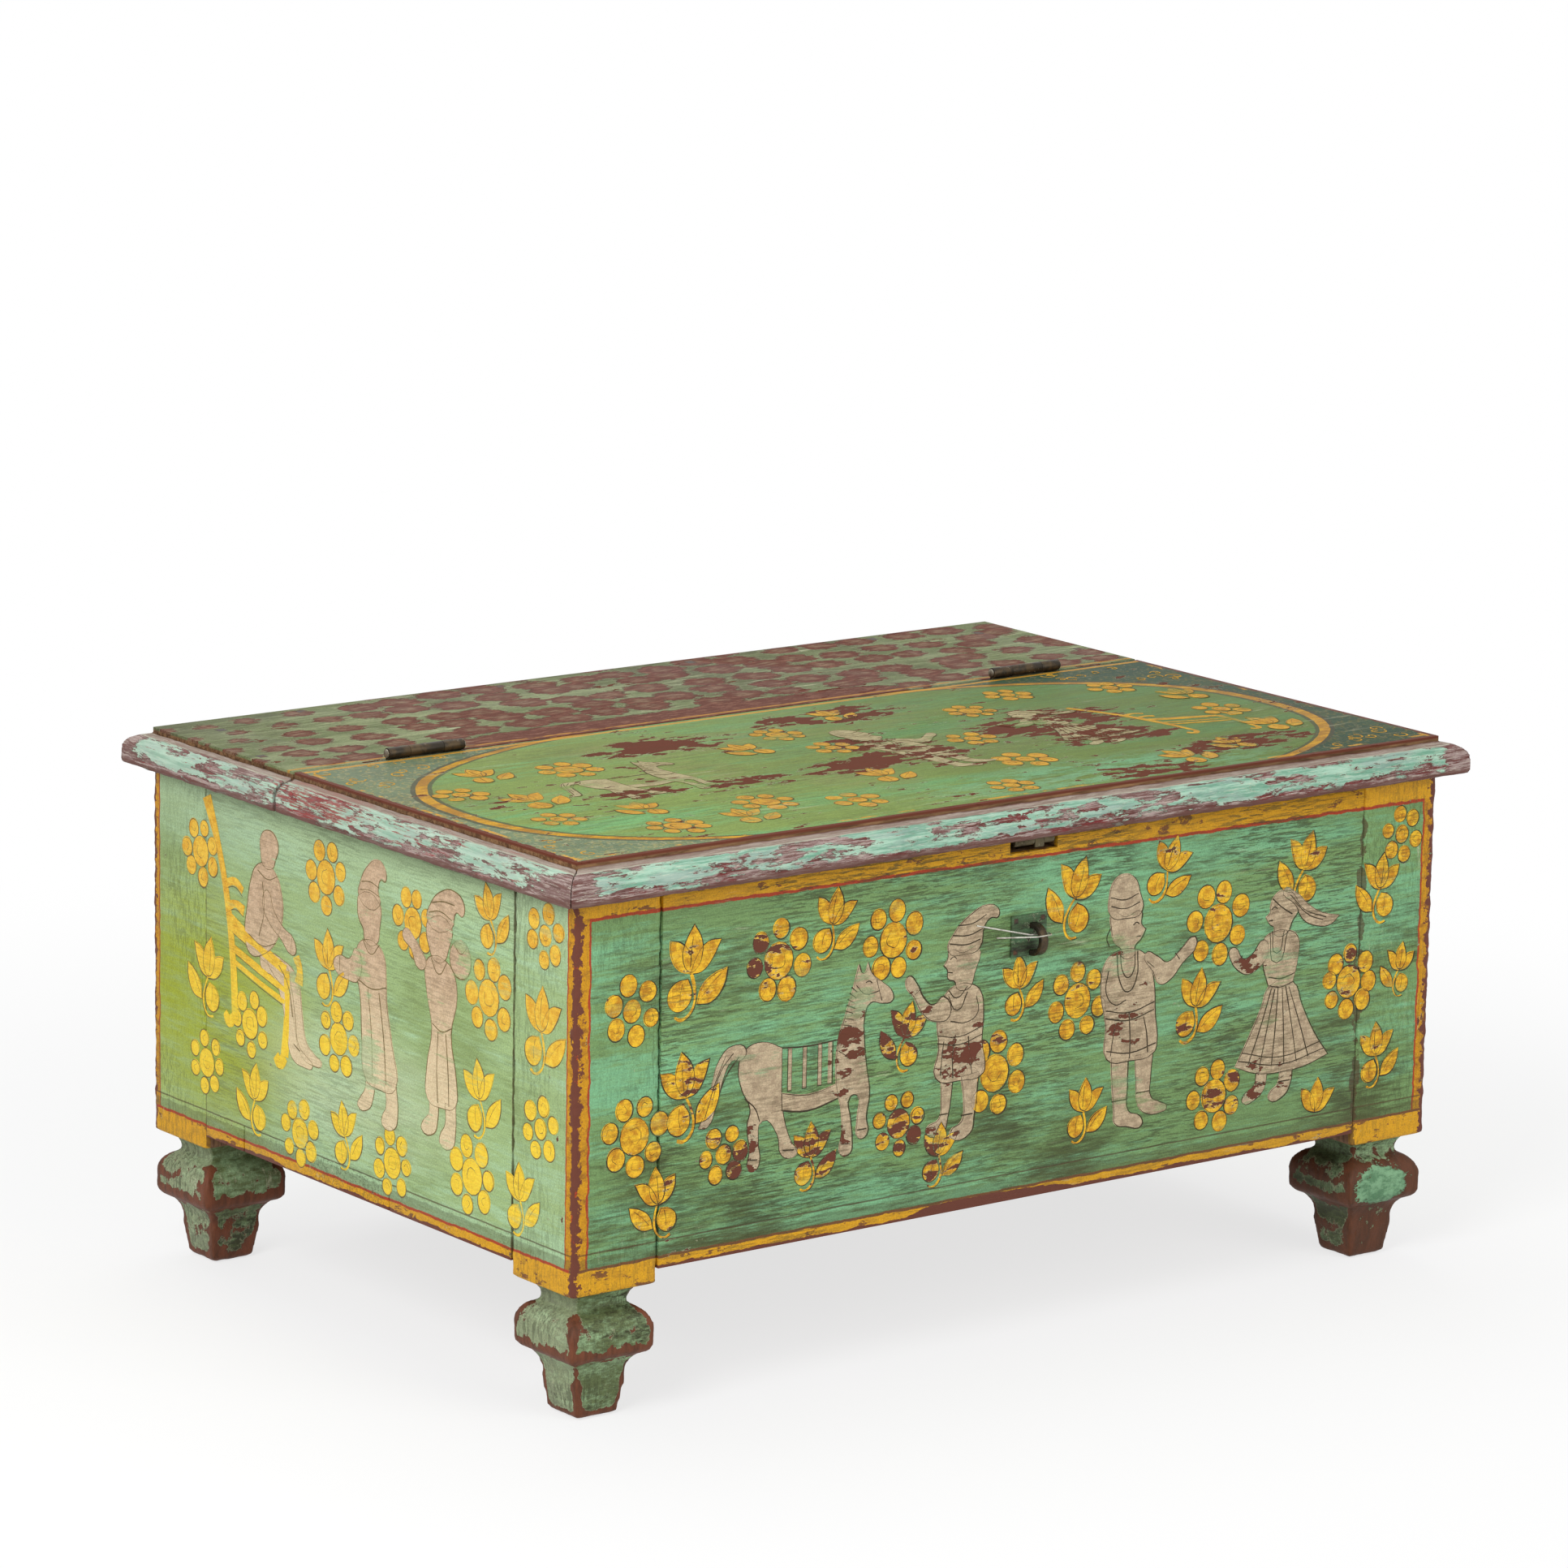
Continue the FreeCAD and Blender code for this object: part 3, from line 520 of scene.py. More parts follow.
def painted_post():
    """The carcase paint on the block, and a greyer, more battered green on the foot below it, with painted
    light and painted shade on some faces of the feet.
    """
    material, tree, shader, place = new_material("painted_posts")
    x, y, z = axes(tree, place)
    paint = use(tree, carcase_paint, Vector=place)
    foot = washed(tree, place, (0.3, 0.3, 1.0), shade(92, 104, 66), shade(142, 170, 128), shade(54, 56, 34),
                  patina=1.3)
    middle = post_size / 2
    right = ramp(tree, x, 0.0, 0.1)
    outward = minus(tree, times(tree, x, -1.0), half_width - middle)
    inward = minus(tree, half_width - middle, unsigned(tree, x))
    sideward = unsigned(tree, minus(tree, unsigned(tree, y), half_depth - middle))
    # Painted light: the outward faces of the left-hand feet are painted paler, as if lit.
    lit = ramp(tree, minus(tree, outward, sideward), -2 * MM, 2 * MM)
    foot = blend(tree, lit, foot, shade(176, 186, 152), 0.4)
    # Painted shade: the inner faces of the right-hand feet, under the chest, are painted darker green.
    inner = ramp(tree, minus(tree, inward, sideward), -2 * MM, 2 * MM)
    inner = times(tree, inner, right)
    foot = blend(tree, inner, foot, shade(54, 60, 38), 0.5)
    low = ramp(tree, z, block_underside + 0.5 * MM, block_underside - 0.5 * MM)
    colour = blend(tree, low, paint["Color"], foot)
    worn = aged(tree, place, GRAIN_Z, colour, streaks=raised(tree, 0.35, low, 0.3),
                scuffs=raised(tree, 0.45, low, 0.4), chips=0.2)
    on_edge = times(tree, paint["Arris"], minus(tree, 1.0, low))
    worn_colour = blend(tree, on_edge, worn["Color"], undercoat)
    knocks = tree.nodes.new("ShaderNodeAttribute")
    knocks.attribute_name = "arris"
    torn = minus(tree, noise(tree, place, 60.0, 7.0, 0.72), 0.5)
    bare = raised(tree, times(tree, knocks.outputs["Fac"], 0.75), torn, 1.7)
    under_bulge = stripe_mask(tree, place, z, 51 * MM, 66 * MM, waver=24 * MM)
    bare = raised(tree, bare, under_bulge, 0.42)
    bare = raised(tree, bare, ramp(tree, z, 14 * MM, 2 * MM), 0.3)
    right_hand = times(tree, right, ramp(tree, z, 122 * MM, 76 * MM))
    right_hand = times(tree, right_hand, minus(tree, 0.6, times(tree, inner, 0.35)))
    bare = plus(tree, bare, right_hand)
    rear_hand = times(tree, ramp(tree, y, 0.0, 0.1), ramp(tree, z, 92 * MM, 60 * MM))
    bare = raised(tree, bare, rear_hand, 0.3)
    streaky = noise(tree, stretch(tree, place, (0.5, 0.5, 1.0)), 150.0, 7.0, 0.75)
    kept = raised(tree, spot(tree, x, z, (432 * MM, 72 * MM), (42 * MM, 24 * MM)),
                  minus(tree, streaky, 0.5), 2.4)
    kept = times(tree, ramp(tree, kept, 0.36, 0.44), ramp(tree, y, -312 * MM, -318 * MM))
    kept = times(tree, kept, right)
    bare = minus(tree, bare, times(tree, kept, 1.5))
    aqua = blend(tree, ramp(tree, streaky, 0.40, 0.58), shade(80, 124, 90), shade(124, 168, 130))
    worn_colour = blend(tree, kept, worn_colour, aqua, 0.85)
    rim = times(tree, ramp(tree, bare, 0.34, 0.42), low)
    worn_colour = blend(tree, rim, worn_colour, shade(168, 172, 138), 0.6)
    bare_foot = times(tree, ramp(tree, bare, 0.41, 0.45), low)
    tone = ramp(tree, noise(tree, stretch(tree, place, GRAIN_Z), 120.0, 5.0, 0.7), 0.35, 0.7)
    bare_wood = blend(tree, tone, shade(112, 64, 42), shade(78, 46, 28))
    bare_wood = blend(tree, right, bare_wood, shade(66, 42, 24), 0.45)
    worn_colour = blend(tree, bare_foot, worn_colour, bare_wood)
    wood = use(tree, raw_wood, Vector=place, Stretch=GRAIN_Z)
    outside = larger(tree, paint["Outside"], low)
    worn_colour = blend(tree, outside, wood["Color"], worn_colour)
    height = minus(tree, worn["Height"], bare_foot)
    surface(tree, shader, worn_colour, worn["Roughness"], height, depth=0.6 * MM)
    return material


def post_knocks(centre_x, centre_y):
    """How hard each place of a post is worn: its arrises along the block, and all of the foot."""
    reach = 9 * MM
    foot_wear = 0.35

    def weight_at(place):
        if place.z < block_underside:
            return foot_wear
        across = post_size / 2 - abs(place.x - centre_x)
        along = post_size / 2 - abs(place.y - centre_y)
        return max(0.0, 1 - (across + along) / reach)
    return weight_at


def mark_arrises(piece):
    """Stores on each point how far it stands out from its neighbours, so that paint can wear there."""
    passes = 6
    full = 0.12 * MM
    mesh = piece.data
    offsets = [Vector() for _ in mesh.vertices]
    counts = [0] * len(mesh.vertices)
    for edge in mesh.edges:
        first, second = edge.vertices
        step = mesh.vertices[second].co - mesh.vertices[first].co
        offsets[first] += step
        offsets[second] -= step
        counts[first] += 1
        counts[second] += 1
    sharp = [-offset.dot(vertex.normal) / max(count, 1)
             for offset, vertex, count in zip(offsets, mesh.vertices, counts)]
    for _ in range(passes):
        total = sharp[:]
        for edge in mesh.edges:
            first, second = edge.vertices
            total[first] += sharp[second]
            total[second] += sharp[first]
        sharp = [value / (count + 1) for value, count in zip(total, counts)]
    attribute = mesh.attributes.new("arris", "FLOAT", "POINT")
    attribute.data.foreach_set("value", [max(0.0, min(1.0, value / full)) for value in sharp])


post_paint = painted_post()
for node in ("corner_post_front_left", "corner_post_front_right", "corner_post_rear_left",
             "corner_post_rear_right"):
    low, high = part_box(node)
    post = worn_copy(node, "_carved", voxel=2.2 * MM,
                     weight_at=post_knocks((low.x + high.x) / 2, (low.y + high.y) / 2), depth=3.2 * MM,
                     grain=9 * MM)
    mark_arrises(post)
    settle(post, post_paint, "chest", "painted_posts", node)


# Panels: one wide plank on each side, tongued into grooves of the posts.
# Painted outside in brushed green with folk flowers, bare wood inside. The front one is
# notched at the top for the hasp.

panel_paint = painted_carcase("painted_panels_long", GRAIN_X, chips=0.12, streaks=0.75)
side_paint = painted_carcase("painted_panels_side", GRAIN_Y, chips=0.06, streaks=0.3, scuffs=0.3)
for node in ("front_panel", "back_panel"):
    settle(rounded_copy(node, "_plank", width=0.3 * MM), panel_paint, "chest", "painted_panels", node)
for node in ("left_panel", "right_panel"):
    settle(rounded_copy(node, "_plank", width=0.3 * MM), side_paint, "chest", "painted_panels", node)


# Floor: three planks nailed up under the panels, flush with them outside.
# Only their edges are painted, with the carcase; the rest is bare, dusty wood.

floor_paint = painted_carcase("floor_planks", GRAIN_X, chips=0.22, streaks=0.5)
for node in ("floor_board_front", "floor_board_middle", "floor_board_rear"):
    settle(rounded_copy(node, "_plank", width=1.5 * MM), floor_paint, "chest", "floor_wood", node)


# Nails: forged iron with flat heads, driven through the floor, the rear board and the plates.
# They keep their own solids and get a dark skin with rust in it.


def iron_material(name, main, rust, roughness, metallic):
    """Forged iron: a dark skin, rust in the hollows and worn bright spots."""
    material, tree, shader, place = new_material(name)
    pits = noise(tree, place, 260.0, 6.0, 0.7)
    bloom = noise(tree, place, 70.0, 4.0, 0.6)
    colour = blend(tree, ramp(tree, bloom, 0.45, 0.62), main, rust)
    colour = blend(tree, ramp(tree, pits, 0.62, 0.72), colour, shade(170, 160, 140))
    shader.inputs["Metallic"].default_value = metallic
    rough = raised(tree, roughness, bloom, 0.3)
    surface(tree, shader, colour, rough, pits, depth=0.3 * MM)
    return material


forged_iron = iron_material("forged_fasteners", shade(70, 62, 54), shade(92, 62, 44), roughness=0.4,
                            metallic=0.6)
for node in ("floor_nails", "top_board_nails", "hinge_nails_fixed", "hinge_nails_lid", "lock_plate_nails",
             "hasp_nails"):
    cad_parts[node].data.materials.clear()
    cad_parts[node].data.materials.append(forged_iron)


# Top: the fixed rear board and the lid, each one plank.
# The lid carries a large yellow oval on green with teal corners; the rear board was once all
# flowers, now worn to rows of red-brown blotches.

lid_low, lid_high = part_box("lid_board")
board_top = lid_high.z
top_sheen = 0.06
oval_centre = (-2 * MM, -128 * MM)
oval_reach = (458 * MM, 236 * MM)
oval_roundness = 2.45


def patches(places):
    """Worn or painted patches, given in millimetres: a centre and a reach each."""
    return [((x * MM, y * MM), (across * MM, along * MM)) for x, y, across, along in places]


worn_places = patches(((-155, 15, 110, 40), (-266, -136, 60, 30), (65, 40, 125, 45), (25, -110, 65, 105),
                       (225, -95, 120, 80), (300, -250, 105, 38), (158, -298, 80, 34), (-61, -147, 70, 42),
                       (-174, -149, 70, 36), (235, -169, 95, 40)))
smeared_places = patches(((-300, -98, 85, 36), (-200, -85, 75, 55), (-75, -185, 65, 75), (95, -125, 85, 60),
                          (-150, 10, 130, 50), (50, 20, 150, 70), (225, -100, 120, 90),
                          (290, -245, 120, 45)))


def oval_distance(tree, x, y):
    """1 on the painted oval's outer line, less inside it and more outside."""
    across = unsigned(tree, figure(tree, "DIVIDE", minus(tree, x, oval_centre[0]), oval_reach[0]))
    down = unsigned(tree, figure(tree, "DIVIDE", minus(tree, y, oval_centre[1]), oval_reach[1]))
    total = plus(tree, figure(tree, "POWER", across, oval_roundness),
                 figure(tree, "POWER", down, oval_roundness))
    return figure(tree, "POWER", total, 1 / oval_roundness)


def lid_field_group():
    """Green inside the oval, teal with yellow scrollwork in the corners, and the yellow lines; both grounds
    carry painted shade towards the right end.
    """
    tree, start, end = new_group("lid_field", {"Vector": "Vector"}, {"Color": "Color"})
    vector = start["Vector"]
    x, y, _ = axes(tree, vector)
    green = washed(tree, vector, GRAIN_X, shade(124, 144, 76), shade(112, 162, 104), shade(108, 112, 58),
                   patina=0.5)
    teal = washed(tree, vector, GRAIN_X, shade(62, 90, 70), shade(84, 110, 76), shade(48, 62, 48),
                  patina=0.9)
    scrolls = tree.nodes.new("ShaderNodeTexVoronoi")
    scrolls.voronoi_dimensions = "2D"
    scrolls.inputs["Scale"].default_value = 1.0
    feed(tree, scrolls.inputs["Vector"], stretch(tree, vector, (1 / (12 * MM), 1 / (11 * MM), 0.0)))
    off_ring = unsigned(tree, minus(tree, scrolls.outputs["Distance"], 0.34))
    curl = times(tree, ramp(tree, off_ring, 0.11, 0.06),
                 ramp(tree, noise(tree, vector, 95.0, 3.0), 0.44, 0.50))
    teal = blend(tree, curl, teal, shade(166, 144, 62), 0.55)
    specks = ramp(tree, noise(tree, vector, 210.0, 3.0, 0.6), 0.58, 0.63)
    teal = blend(tree, specks, teal, shade(172, 160, 122), 0.7)
    # Painted shade: the teal is darkened towards the right end of the lid.
    teal = blend(tree, ramp(tree, x, 0.0, 0.4), teal, shade(38, 58, 40), 0.66)
    teal = blend(tree, ramp(tree, x, -0.2, -0.42), teal, shade(150, 158, 124), 0.4)
    bristle = ramp(tree, noise(tree, stretch(tree, vector, (0.3, 1.0, 1.0)), 70.0, 6.0, 0.75), 0.42, 0.56)
    for centre, reach in smeared_places:
        smear = times(tree, ramp(tree, spot(tree, x, y, centre, reach), 0.0, 0.5), bristle)
        green = blend(tree, smear, green, shade(140, 136, 88), 0.34)
    # Painted shade: the green is darkened towards the right end of the lid.
    green = blend(tree, ramp(tree, x, -0.3, 0.35), green, shade(74, 96, 40), 0.62)
    gleam = times(tree, spot(tree, x, y, (120 * MM, -285 * MM), (260 * MM, 70 * MM)), bristle)
    green = blend(tree, gleam, green, shade(122, 176, 136), 0.6)
    far = oval_distance(tree, x, y)
    colour = blend(tree, ramp(tree, far, 0.985, 0.99), green, teal)
    rim = stripe_mask(tree, vector, far, 0.966, 1.012, waver=0.008)
    colour = blend(tree, rim, colour, shade(70, 64, 48), 0.75)
    band = stripe_mask(tree, vector, far, 0.976, 1.001, waver=0.006)
    colour = blend(tree, band, colour, blend(tree, bristle, shade(196, 148, 40), shade(164, 118, 42)))
    joint_line = stripe_mask(tree, vector, y, lid_high.y - 9 * MM, lid_high.y - 4 * MM, waver=2 * MM)
    front_line = stripe_mask(tree, vector, y, lid_low.y + 8 * MM, lid_low.y + 12 * MM, waver=2 * MM)
    ends = unsigned(tree, x)
    end_line = stripe_mask(tree, vector, ends, lid_high.x - 10 * MM, lid_high.x - 6 * MM, waver=2 * MM)
    left_over = ramp(tree, noise(tree, vector, 17.0, 5.0, 0.7), 0.53, 0.60)
    edges = times(tree, larger(tree, front_line, end_line), left_over)
    lines = larger(tree, joint_line, edges)
    colour = blend(tree, lines, colour, shade(206, 150, 50), 0.85)
    feed(tree, end["Color"], colour)
    return tree


lid_field = lid_field_group()


def upper_face_only(tree, place, colour):
    """Paint on the upper face of a board, and bare wood round and below it."""
    wood = use(tree, raw_wood, Vector=place, Stretch=GRAIN_X)
    top = ramp(tree, axes(tree, place)[2], board_top - 3 * MM, board_top - 1.5 * MM)
    return blend(tree, top, wood["Color"], colour)


def painted_lid():
    """The lid's painting, chipped where hands and goods have worn it, and bare along its edges."""
    material, tree, shader, place = new_material("painted_lid", sheen=top_sheen)
    x, y, _ = axes(tree, place)
    paint = use(tree, lid_field, Vector=place)["Color"]
    chips = 0.36
    for centre, reach in worn_places:
        chips = raised(tree, chips, spot(tree, x, y, centre, reach), 0.7)
    worn = aged(tree, place, GRAIN_X, paint, streaks=0.3, scuffs=0.45, chips=chips)
    from_end = minus(tree, half_width, unsigned(tree, x))
    from_front = plus(tree, half_depth, y)
    rim = figure(tree, "MINIMUM", from_end, from_front)
    ragged = raised(tree, 1 * MM, noise(tree, stretch(tree, place, GRAIN_X), 90.0, 4.0, 0.65), 9 * MM)
    bare = ramp(tree, rim, ragged, minus(tree, ragged, 0.6 * MM))
    colour = blend(tree, bare, worn["Color"], undercoat)
    colour = upper_face_only(tree, place, colour)
    surface(tree, shader, colour, worn["Roughness"], worn["Height"], depth=0.5 * MM)
    return material


def painted_rear_board():
    """Green paint gone in staggered rows of ovals, where old flowers were rubbed away."""
    material, tree, shader, place = new_material("painted_rear_board", sheen=top_sheen)
    x, y, _ = axes(tree, place)
    pitch_x = 50 * MM
    pitch_y = 37 * MM
    line_low = 103 * MM
    line_high = 107 * MM
    paint = washed(tree, place, GRAIN_X, shade(110, 120, 82), shade(142, 150, 112), shade(86, 88, 62),
                   patina=0.9)
    cells = tree.nodes.new("ShaderNodeTexVoronoi")
    cells.voronoi_dimensions = "2D"
    cells.inputs["Scale"].default_value = 1.0
    cells.inputs["Randomness"].default_value = 0.5
    feed(tree, cells.inputs["Vector"], stretch(tree, place, (1 / pitch_x, 1 / pitch_y, 0.0)))
    ragged = noise(tree, stretch(tree, place, (0.35, 1.0, 1.0)), 130.0, 7.0, 0.76)
    many = times(tree, minus(tree, noise(tree, place, 6.0, 2.0), 0.5), 0.5)
    oval = raised(tree, cells.outputs["Distance"], minus(tree, ragged, 0.5), 0.95)
    oval = plus(tree, oval, many)
    oval = raised(tree, oval, ramp(tree, x, -0.25, -0.48), 0.13)
    worst = ramp(tree, unsigned(tree, plus(tree, x, 0.1)), 0.35, 0.1)
    oval = minus(tree, oval, times(tree, worst, 0.07))
    blotch = ramp(tree, oval, 0.43, 0.39)
    edge = times(tree, ramp(tree, oval, 0.49, 0.43), minus(tree, 1.0, blotch))
    bare_strip = times(tree, ramp(tree, y, 158 * MM, 116 * MM),
                       ramp(tree, unsigned(tree, plus(tree, x, 40 * MM)), 290 * MM, 190 * MM))
    bare_strip = ramp(tree, plus(tree, bare_strip, minus(tree, ragged, 0.5)), 0.46, 0.52)
    paint = blend(tree, edge, paint, shade(158, 156, 124), 0.5)
    worn = aged(tree, place, GRAIN_X, paint, streaks=0.4, scuffs=1.0, chips=0.3)
    bare = larger(tree, blotch, bare_strip)
    speckle = noise(tree, stretch(tree, place, (0.25, 1.0, 1.0)), 240.0, 6.0, 0.78)
    worn_bare = blend(tree, ramp(tree, speckle, 0.50, 0.60), shade(92, 40, 32), shade(130, 84, 68))
    heart = times(tree, ramp(tree, cells.outputs["Distance"], 0.3, 0.12), ramp(tree, speckle, 0.42, 0.54))
    heart = times(tree, heart, minus(tree, 1.0, bare_strip))
    worn_bare = blend(tree, heart, worn_bare, shade(140, 122, 98), 0.5)
    colour = blend(tree, bare, worn["Color"], worn_bare, 0.92)
    line = stripe_mask(tree, place, y, line_low, line_high, waver=2 * MM)
    thin = times(tree, line, ramp(tree, ragged, 0.62, 0.5))
    colour = blend(tree, thin, colour, shade(192, 140, 60), 0.8)
    colour = upper_face_only(tree, place, colour)
    height = minus(tree, worn["Height"], bare)
    surface(tree, shader, colour, worn["Roughness"], height, depth=0.5 * MM)
    return material


settle(rounded_copy("rear_top_board", "_plank", width=1.0 * MM), painted_rear_board(), "chest",
       "painted_top", "rear_top_board")
settle(rounded_copy("lid_board", "_plank", width=1.0 * MM), painted_lid(), "lid", "painted_top",
       "lid_board")


# Mouldings: strips of step, cove and ovolo planted round both boards and mitred at the corners.
# Old aqua paint is left on the rounds; the cove is a purple-grey, and edges and corners are bare.


def painted_moulding():
    """Flaking aqua over lilac and bare wood, long marks along each strip, and a worn line on the fillet."""
    material, tree, shader, place = new_material("painted_mouldings")
    x, y, z = axes(tree, place)
    past_end = minus(tree, unsigned(tree, x), half_width)
    past_face = minus(tree, unsigned(tree, y), half_depth)
    out = larger(tree, past_end, past_face)
    is_end = figure(tree, "GREATER_THAN", past_end, past_face)

    def lengthwise(ratio):
        """The place with its measure along the strip made smaller, so that marks come out long."""
        chosen = tree.nodes.new("ShaderNodeMix")
        chosen.data_type = "VECTOR"
        feed(tree, chosen.inputs[0], is_end)
        feed(tree, chosen.inputs[4], stretch(tree, place, (ratio, 1.0, 1.0)))
        feed(tree, chosen.inputs[5], stretch(tree, place, (1.0, ratio, 1.0)))
        return chosen.outputs[1]

    along = lengthwise(0.07)
    flaky = lengthwise(0.2)

    tint = ramp(tree, noise(tree, along, 260.0, 6.0, 0.76), 0.38, 0.62)
    region = minus(tree, noise(tree, place, 14.0, 4.0, 0.65), 0.5)
    hue = ramp(tree, noise(tree, place, 7.0, 2.0), 0.46, 0.60)
    bare = blend(tree, hue, shade(98, 58, 52), shade(112, 42, 42))
    bare = blend(tree, ramp(tree, noise(tree, along, 520.0, 5.0, 0.75), 0.45, 0.6), bare, shade(80, 48, 42))
    lilac_flake = raised(tree, noise(tree, along, 380.0, 8.0, 0.8), region, -0.4)
    lilac = blend(tree, ramp(tree, noise(tree, along, 330.0, 7.0, 0.8), 0.44, 0.56), shade(106, 74, 70),
                  shade(164, 146, 140))
    cove = ramp(tree, out, 8.4 * MM, 7.0 * MM)
    lilac_flake = raised(tree, lilac_flake, cove, 0.07)
    colour = blend(tree, ramp(tree, lilac_flake, 0.48, 0.51), bare, lilac)
    down = ramp(tree, z, carcase_top + 13 * MM, carcase_top + 3 * MM)
    corner = times(tree, ramp(tree, past_end, -14 * MM, 8 * MM), ramp(tree, past_face, -14 * MM, 8 * MM))
    down = times(tree, down, minus(tree, 0.15, times(tree, is_end, 0.04)))
    lost = raised(tree, down, corner, 0.16)
    lost = raised(tree, lost, cove, 0.29)
    flake = raised(tree, noise(tree, flaky, 105.0, 9.0, 0.72, 0.3), region, 0.4)
    flake = minus(tree, flake, lost)
    aqua = blend(tree, tint, shade(102, 150, 126), shade(164, 198, 176))
    dulled = ramp(tree, noise(tree, flaky, 60.0, 5.0, 0.7), 0.46, 0.62)
    aqua = blend(tree, dulled, aqua, shade(140, 146, 146), 0.45)
    aqua = blend(tree, is_end, aqua, shade(184, 208, 186), 0.25)
    chip = ramp(tree, flake, 0.478, 0.463)
    colour = blend(tree, chip, aqua, colour)
    rim = times(tree, ramp(tree, flake, 0.463, 0.478), ramp(tree, flake, 0.503, 0.483))
    scratch = ramp(tree, noise(tree, along, 760.0, 5.0, 0.75), 0.57, 0.64)
    pale = larger(tree, times(tree, rim, 0.45), times(tree, scratch, 0.5))
    colour = blend(tree, pale, colour, shade(204, 204, 182))
    colour = blend(tree, is_end, colour, shade(200, 186, 178), 0.08)
    left_end = times(tree, is_end, ramp(tree, x, 0.0, -0.1))
    scraped = raised(tree, spot(tree, y, z, (45 * MM, 476 * MM), (95 * MM, 30 * MM)),
                     spot(tree, y, z, (-130 * MM, 474 * MM), (190 * MM, 26 * MM)), 0.5)
    scraped = times(tree, times(tree, scraped, left_end), 0.13)
    scraped = plus(tree, scraped, noise(tree, along, 330.0, 8.0, 0.8))
    colour = blend(tree, ramp(tree, scraped, 0.61, 0.64), colour, shade(138, 54, 52), 0.9)
    fillet = stripe_mask(tree, place, out, 6.2 * MM, 8.8 * MM, waver=1.6 * MM)
    worn_line = ramp(tree, noise(tree, along, 90.0, 5.0, 0.7), 0.42, 0.5)
    colour = blend(tree, fillet, colour, blend(tree, worn_line, shade(110, 62, 56), shade(196, 198, 176)),
                   0.7)
    colour = blend(tree, cove, colour, shade(160, 150, 134), 0.5)
    ragged = times(tree, minus(tree, noise(tree, flaky, 80.0, 6.0, 0.7), 0.5), 14 * MM)
    low_edge = ramp(tree, plus(tree, z, ragged), carcase_top + 6 * MM, carcase_top + 5 * MM)
    colour = blend(tree, low_edge, colour, shade(98, 66, 58), 0.8)
    # Painted shade: a dark line in the gap where the lid's and the rear board's mouldings meet on the ends.
    from_joint = unsigned(tree, minus(tree, y, lid_high.y))
    at_joint = times(tree, is_end, ramp(tree, from_joint, 4 * MM, 1.5 * MM))
    colour = blend(tree, at_joint, colour, shade(62, 42, 34), 0.8)
    step = ramp(tree, out, 1.6 * MM, 0.8 * MM)
    colour = blend(tree, step, colour, blend(tree, worn_line, shade(130, 104, 92), shade(94, 54, 46)), 0.8)
    rough = raised(tree, 0.48, chip, 0.2)
    height = raised(tree, minus(tree, 1.0, chip), noise(tree, along, 420.0, 4.0), 0.6)
    surface(tree, shader, colour, rough, height, depth=0.7 * MM)
    return material


moulding_paint = painted_moulding()
for node in ("rear_moulding_back", "rear_moulding_left", "rear_moulding_right", "lid_moulding_front",
             "lid_moulding_left", "lid_moulding_right"):
    strip = worn_copy(node, "_strip", voxel=1.3 * MM, weight_at=lambda place: 1.0, depth=1.6 * MM,
                      grain=18 * MM)
    settle(strip, moulding_paint, "lid" if node.startswith("lid") else "chest", "painted_moulding", node)


# Hinges: two iron butt hinges let into the joint, with their barrels proud of the top.
# Two knuckles stand on the rear leaf and one on the lid's, all on one pin with peened heads.

hinge_iron = iron_material("hinge_iron", shade(58, 52, 44), shade(84, 70, 52), roughness=0.32,
                           metallic=0.75)
pin_iron = iron_material("pin_iron", shade(150, 144, 130), shade(92, 80, 66), roughness=0.28, metallic=0.85)
for side in ("left", "right"):
    for leaf, body in (("fixed_leaf", "chest"), ("lid_leaf", "lid")):
        node = "hinge_" + side + "_" + leaf
        settle(rounded_copy(node, "_forged", width=0.5 * MM), hinge_iron, body, "dark_iron", node)
    node = "hinge_" + side + "_pin"
    settle(rounded_copy(node, "_forged", width=0.6 * MM), pin_iron, "chest", "dark_iron", node)


# Lock: a small iron plate nailed on the front and painted over, and a staple of strip iron
# driven through it and clenched inside.


def painted_iron():
    """Green paint brushed over iron with the rest of the front, rubbed through on the edges."""
    material, tree, shader, place = new_material("painted_iron")
    paint = washed(tree, place, GRAIN_X, shade(66, 88, 58), shade(78, 112, 80), shade(38, 38, 28),
                   patina=1.6)
    worn = aged(tree, place, (1.0, 1.0, 1.0), paint, streaks=0.5, scuffs=0.6, chips=0.5,
                bare=shade(52, 44, 36))
    surface(tree, shader, worn["Color"], worn["Roughness"], worn["Height"], depth=0.5 * MM)
    return material


settle(rounded_copy("lock_plate", "_forged", width=0.6 * MM), painted_iron(), "chest", "painted_iron",
       "lock_plate")
settle(rounded_copy("lock_staple", "_forged", width=0.8 * MM), hinge_iron, "chest", "dark_iron",
       "lock_staple")


# Hasp: a forged iron strap hinge, nailed under the lid's front edge to drop over the staple.
# Only its leaf, its pin and one broken knuckle of the strap are left.

hasp_iron = iron_material("hasp_iron", shade(96, 88, 66), shade(70, 62, 46), roughness=0.36, metallic=0.7)
for node in ("hasp_leaf", "hasp_pin", "hasp_strap_stub"):
    settle(rounded_copy(node, "_forged", width=0.4 * MM), hasp_iron, "lid", "dark_iron", node)


# Tie wire: a length of bright soft wire, bent by hand and hung through the staple.
# It is loose there, and swings on it.

wire_metal = iron_material("tie_wire", shade(196, 194, 184), shade(150, 146, 134), roughness=0.22,
                           metallic=0.9)
wire = rounded_copy("tie_wire", "_bent", width=0.2 * MM)
settle(wire, wire_metal, "tie_wire", "tie_wire", "tie_wire")


# Front painting: ochre flowers with thin dark outlines, and a horse and folk figures in beige.
# Each is a thin coat brushed on the panel and posts by hand, outlined freely and chipped since.

coat = 0.3 * MM
fine_line = 0.7
hand = random.Random(7)


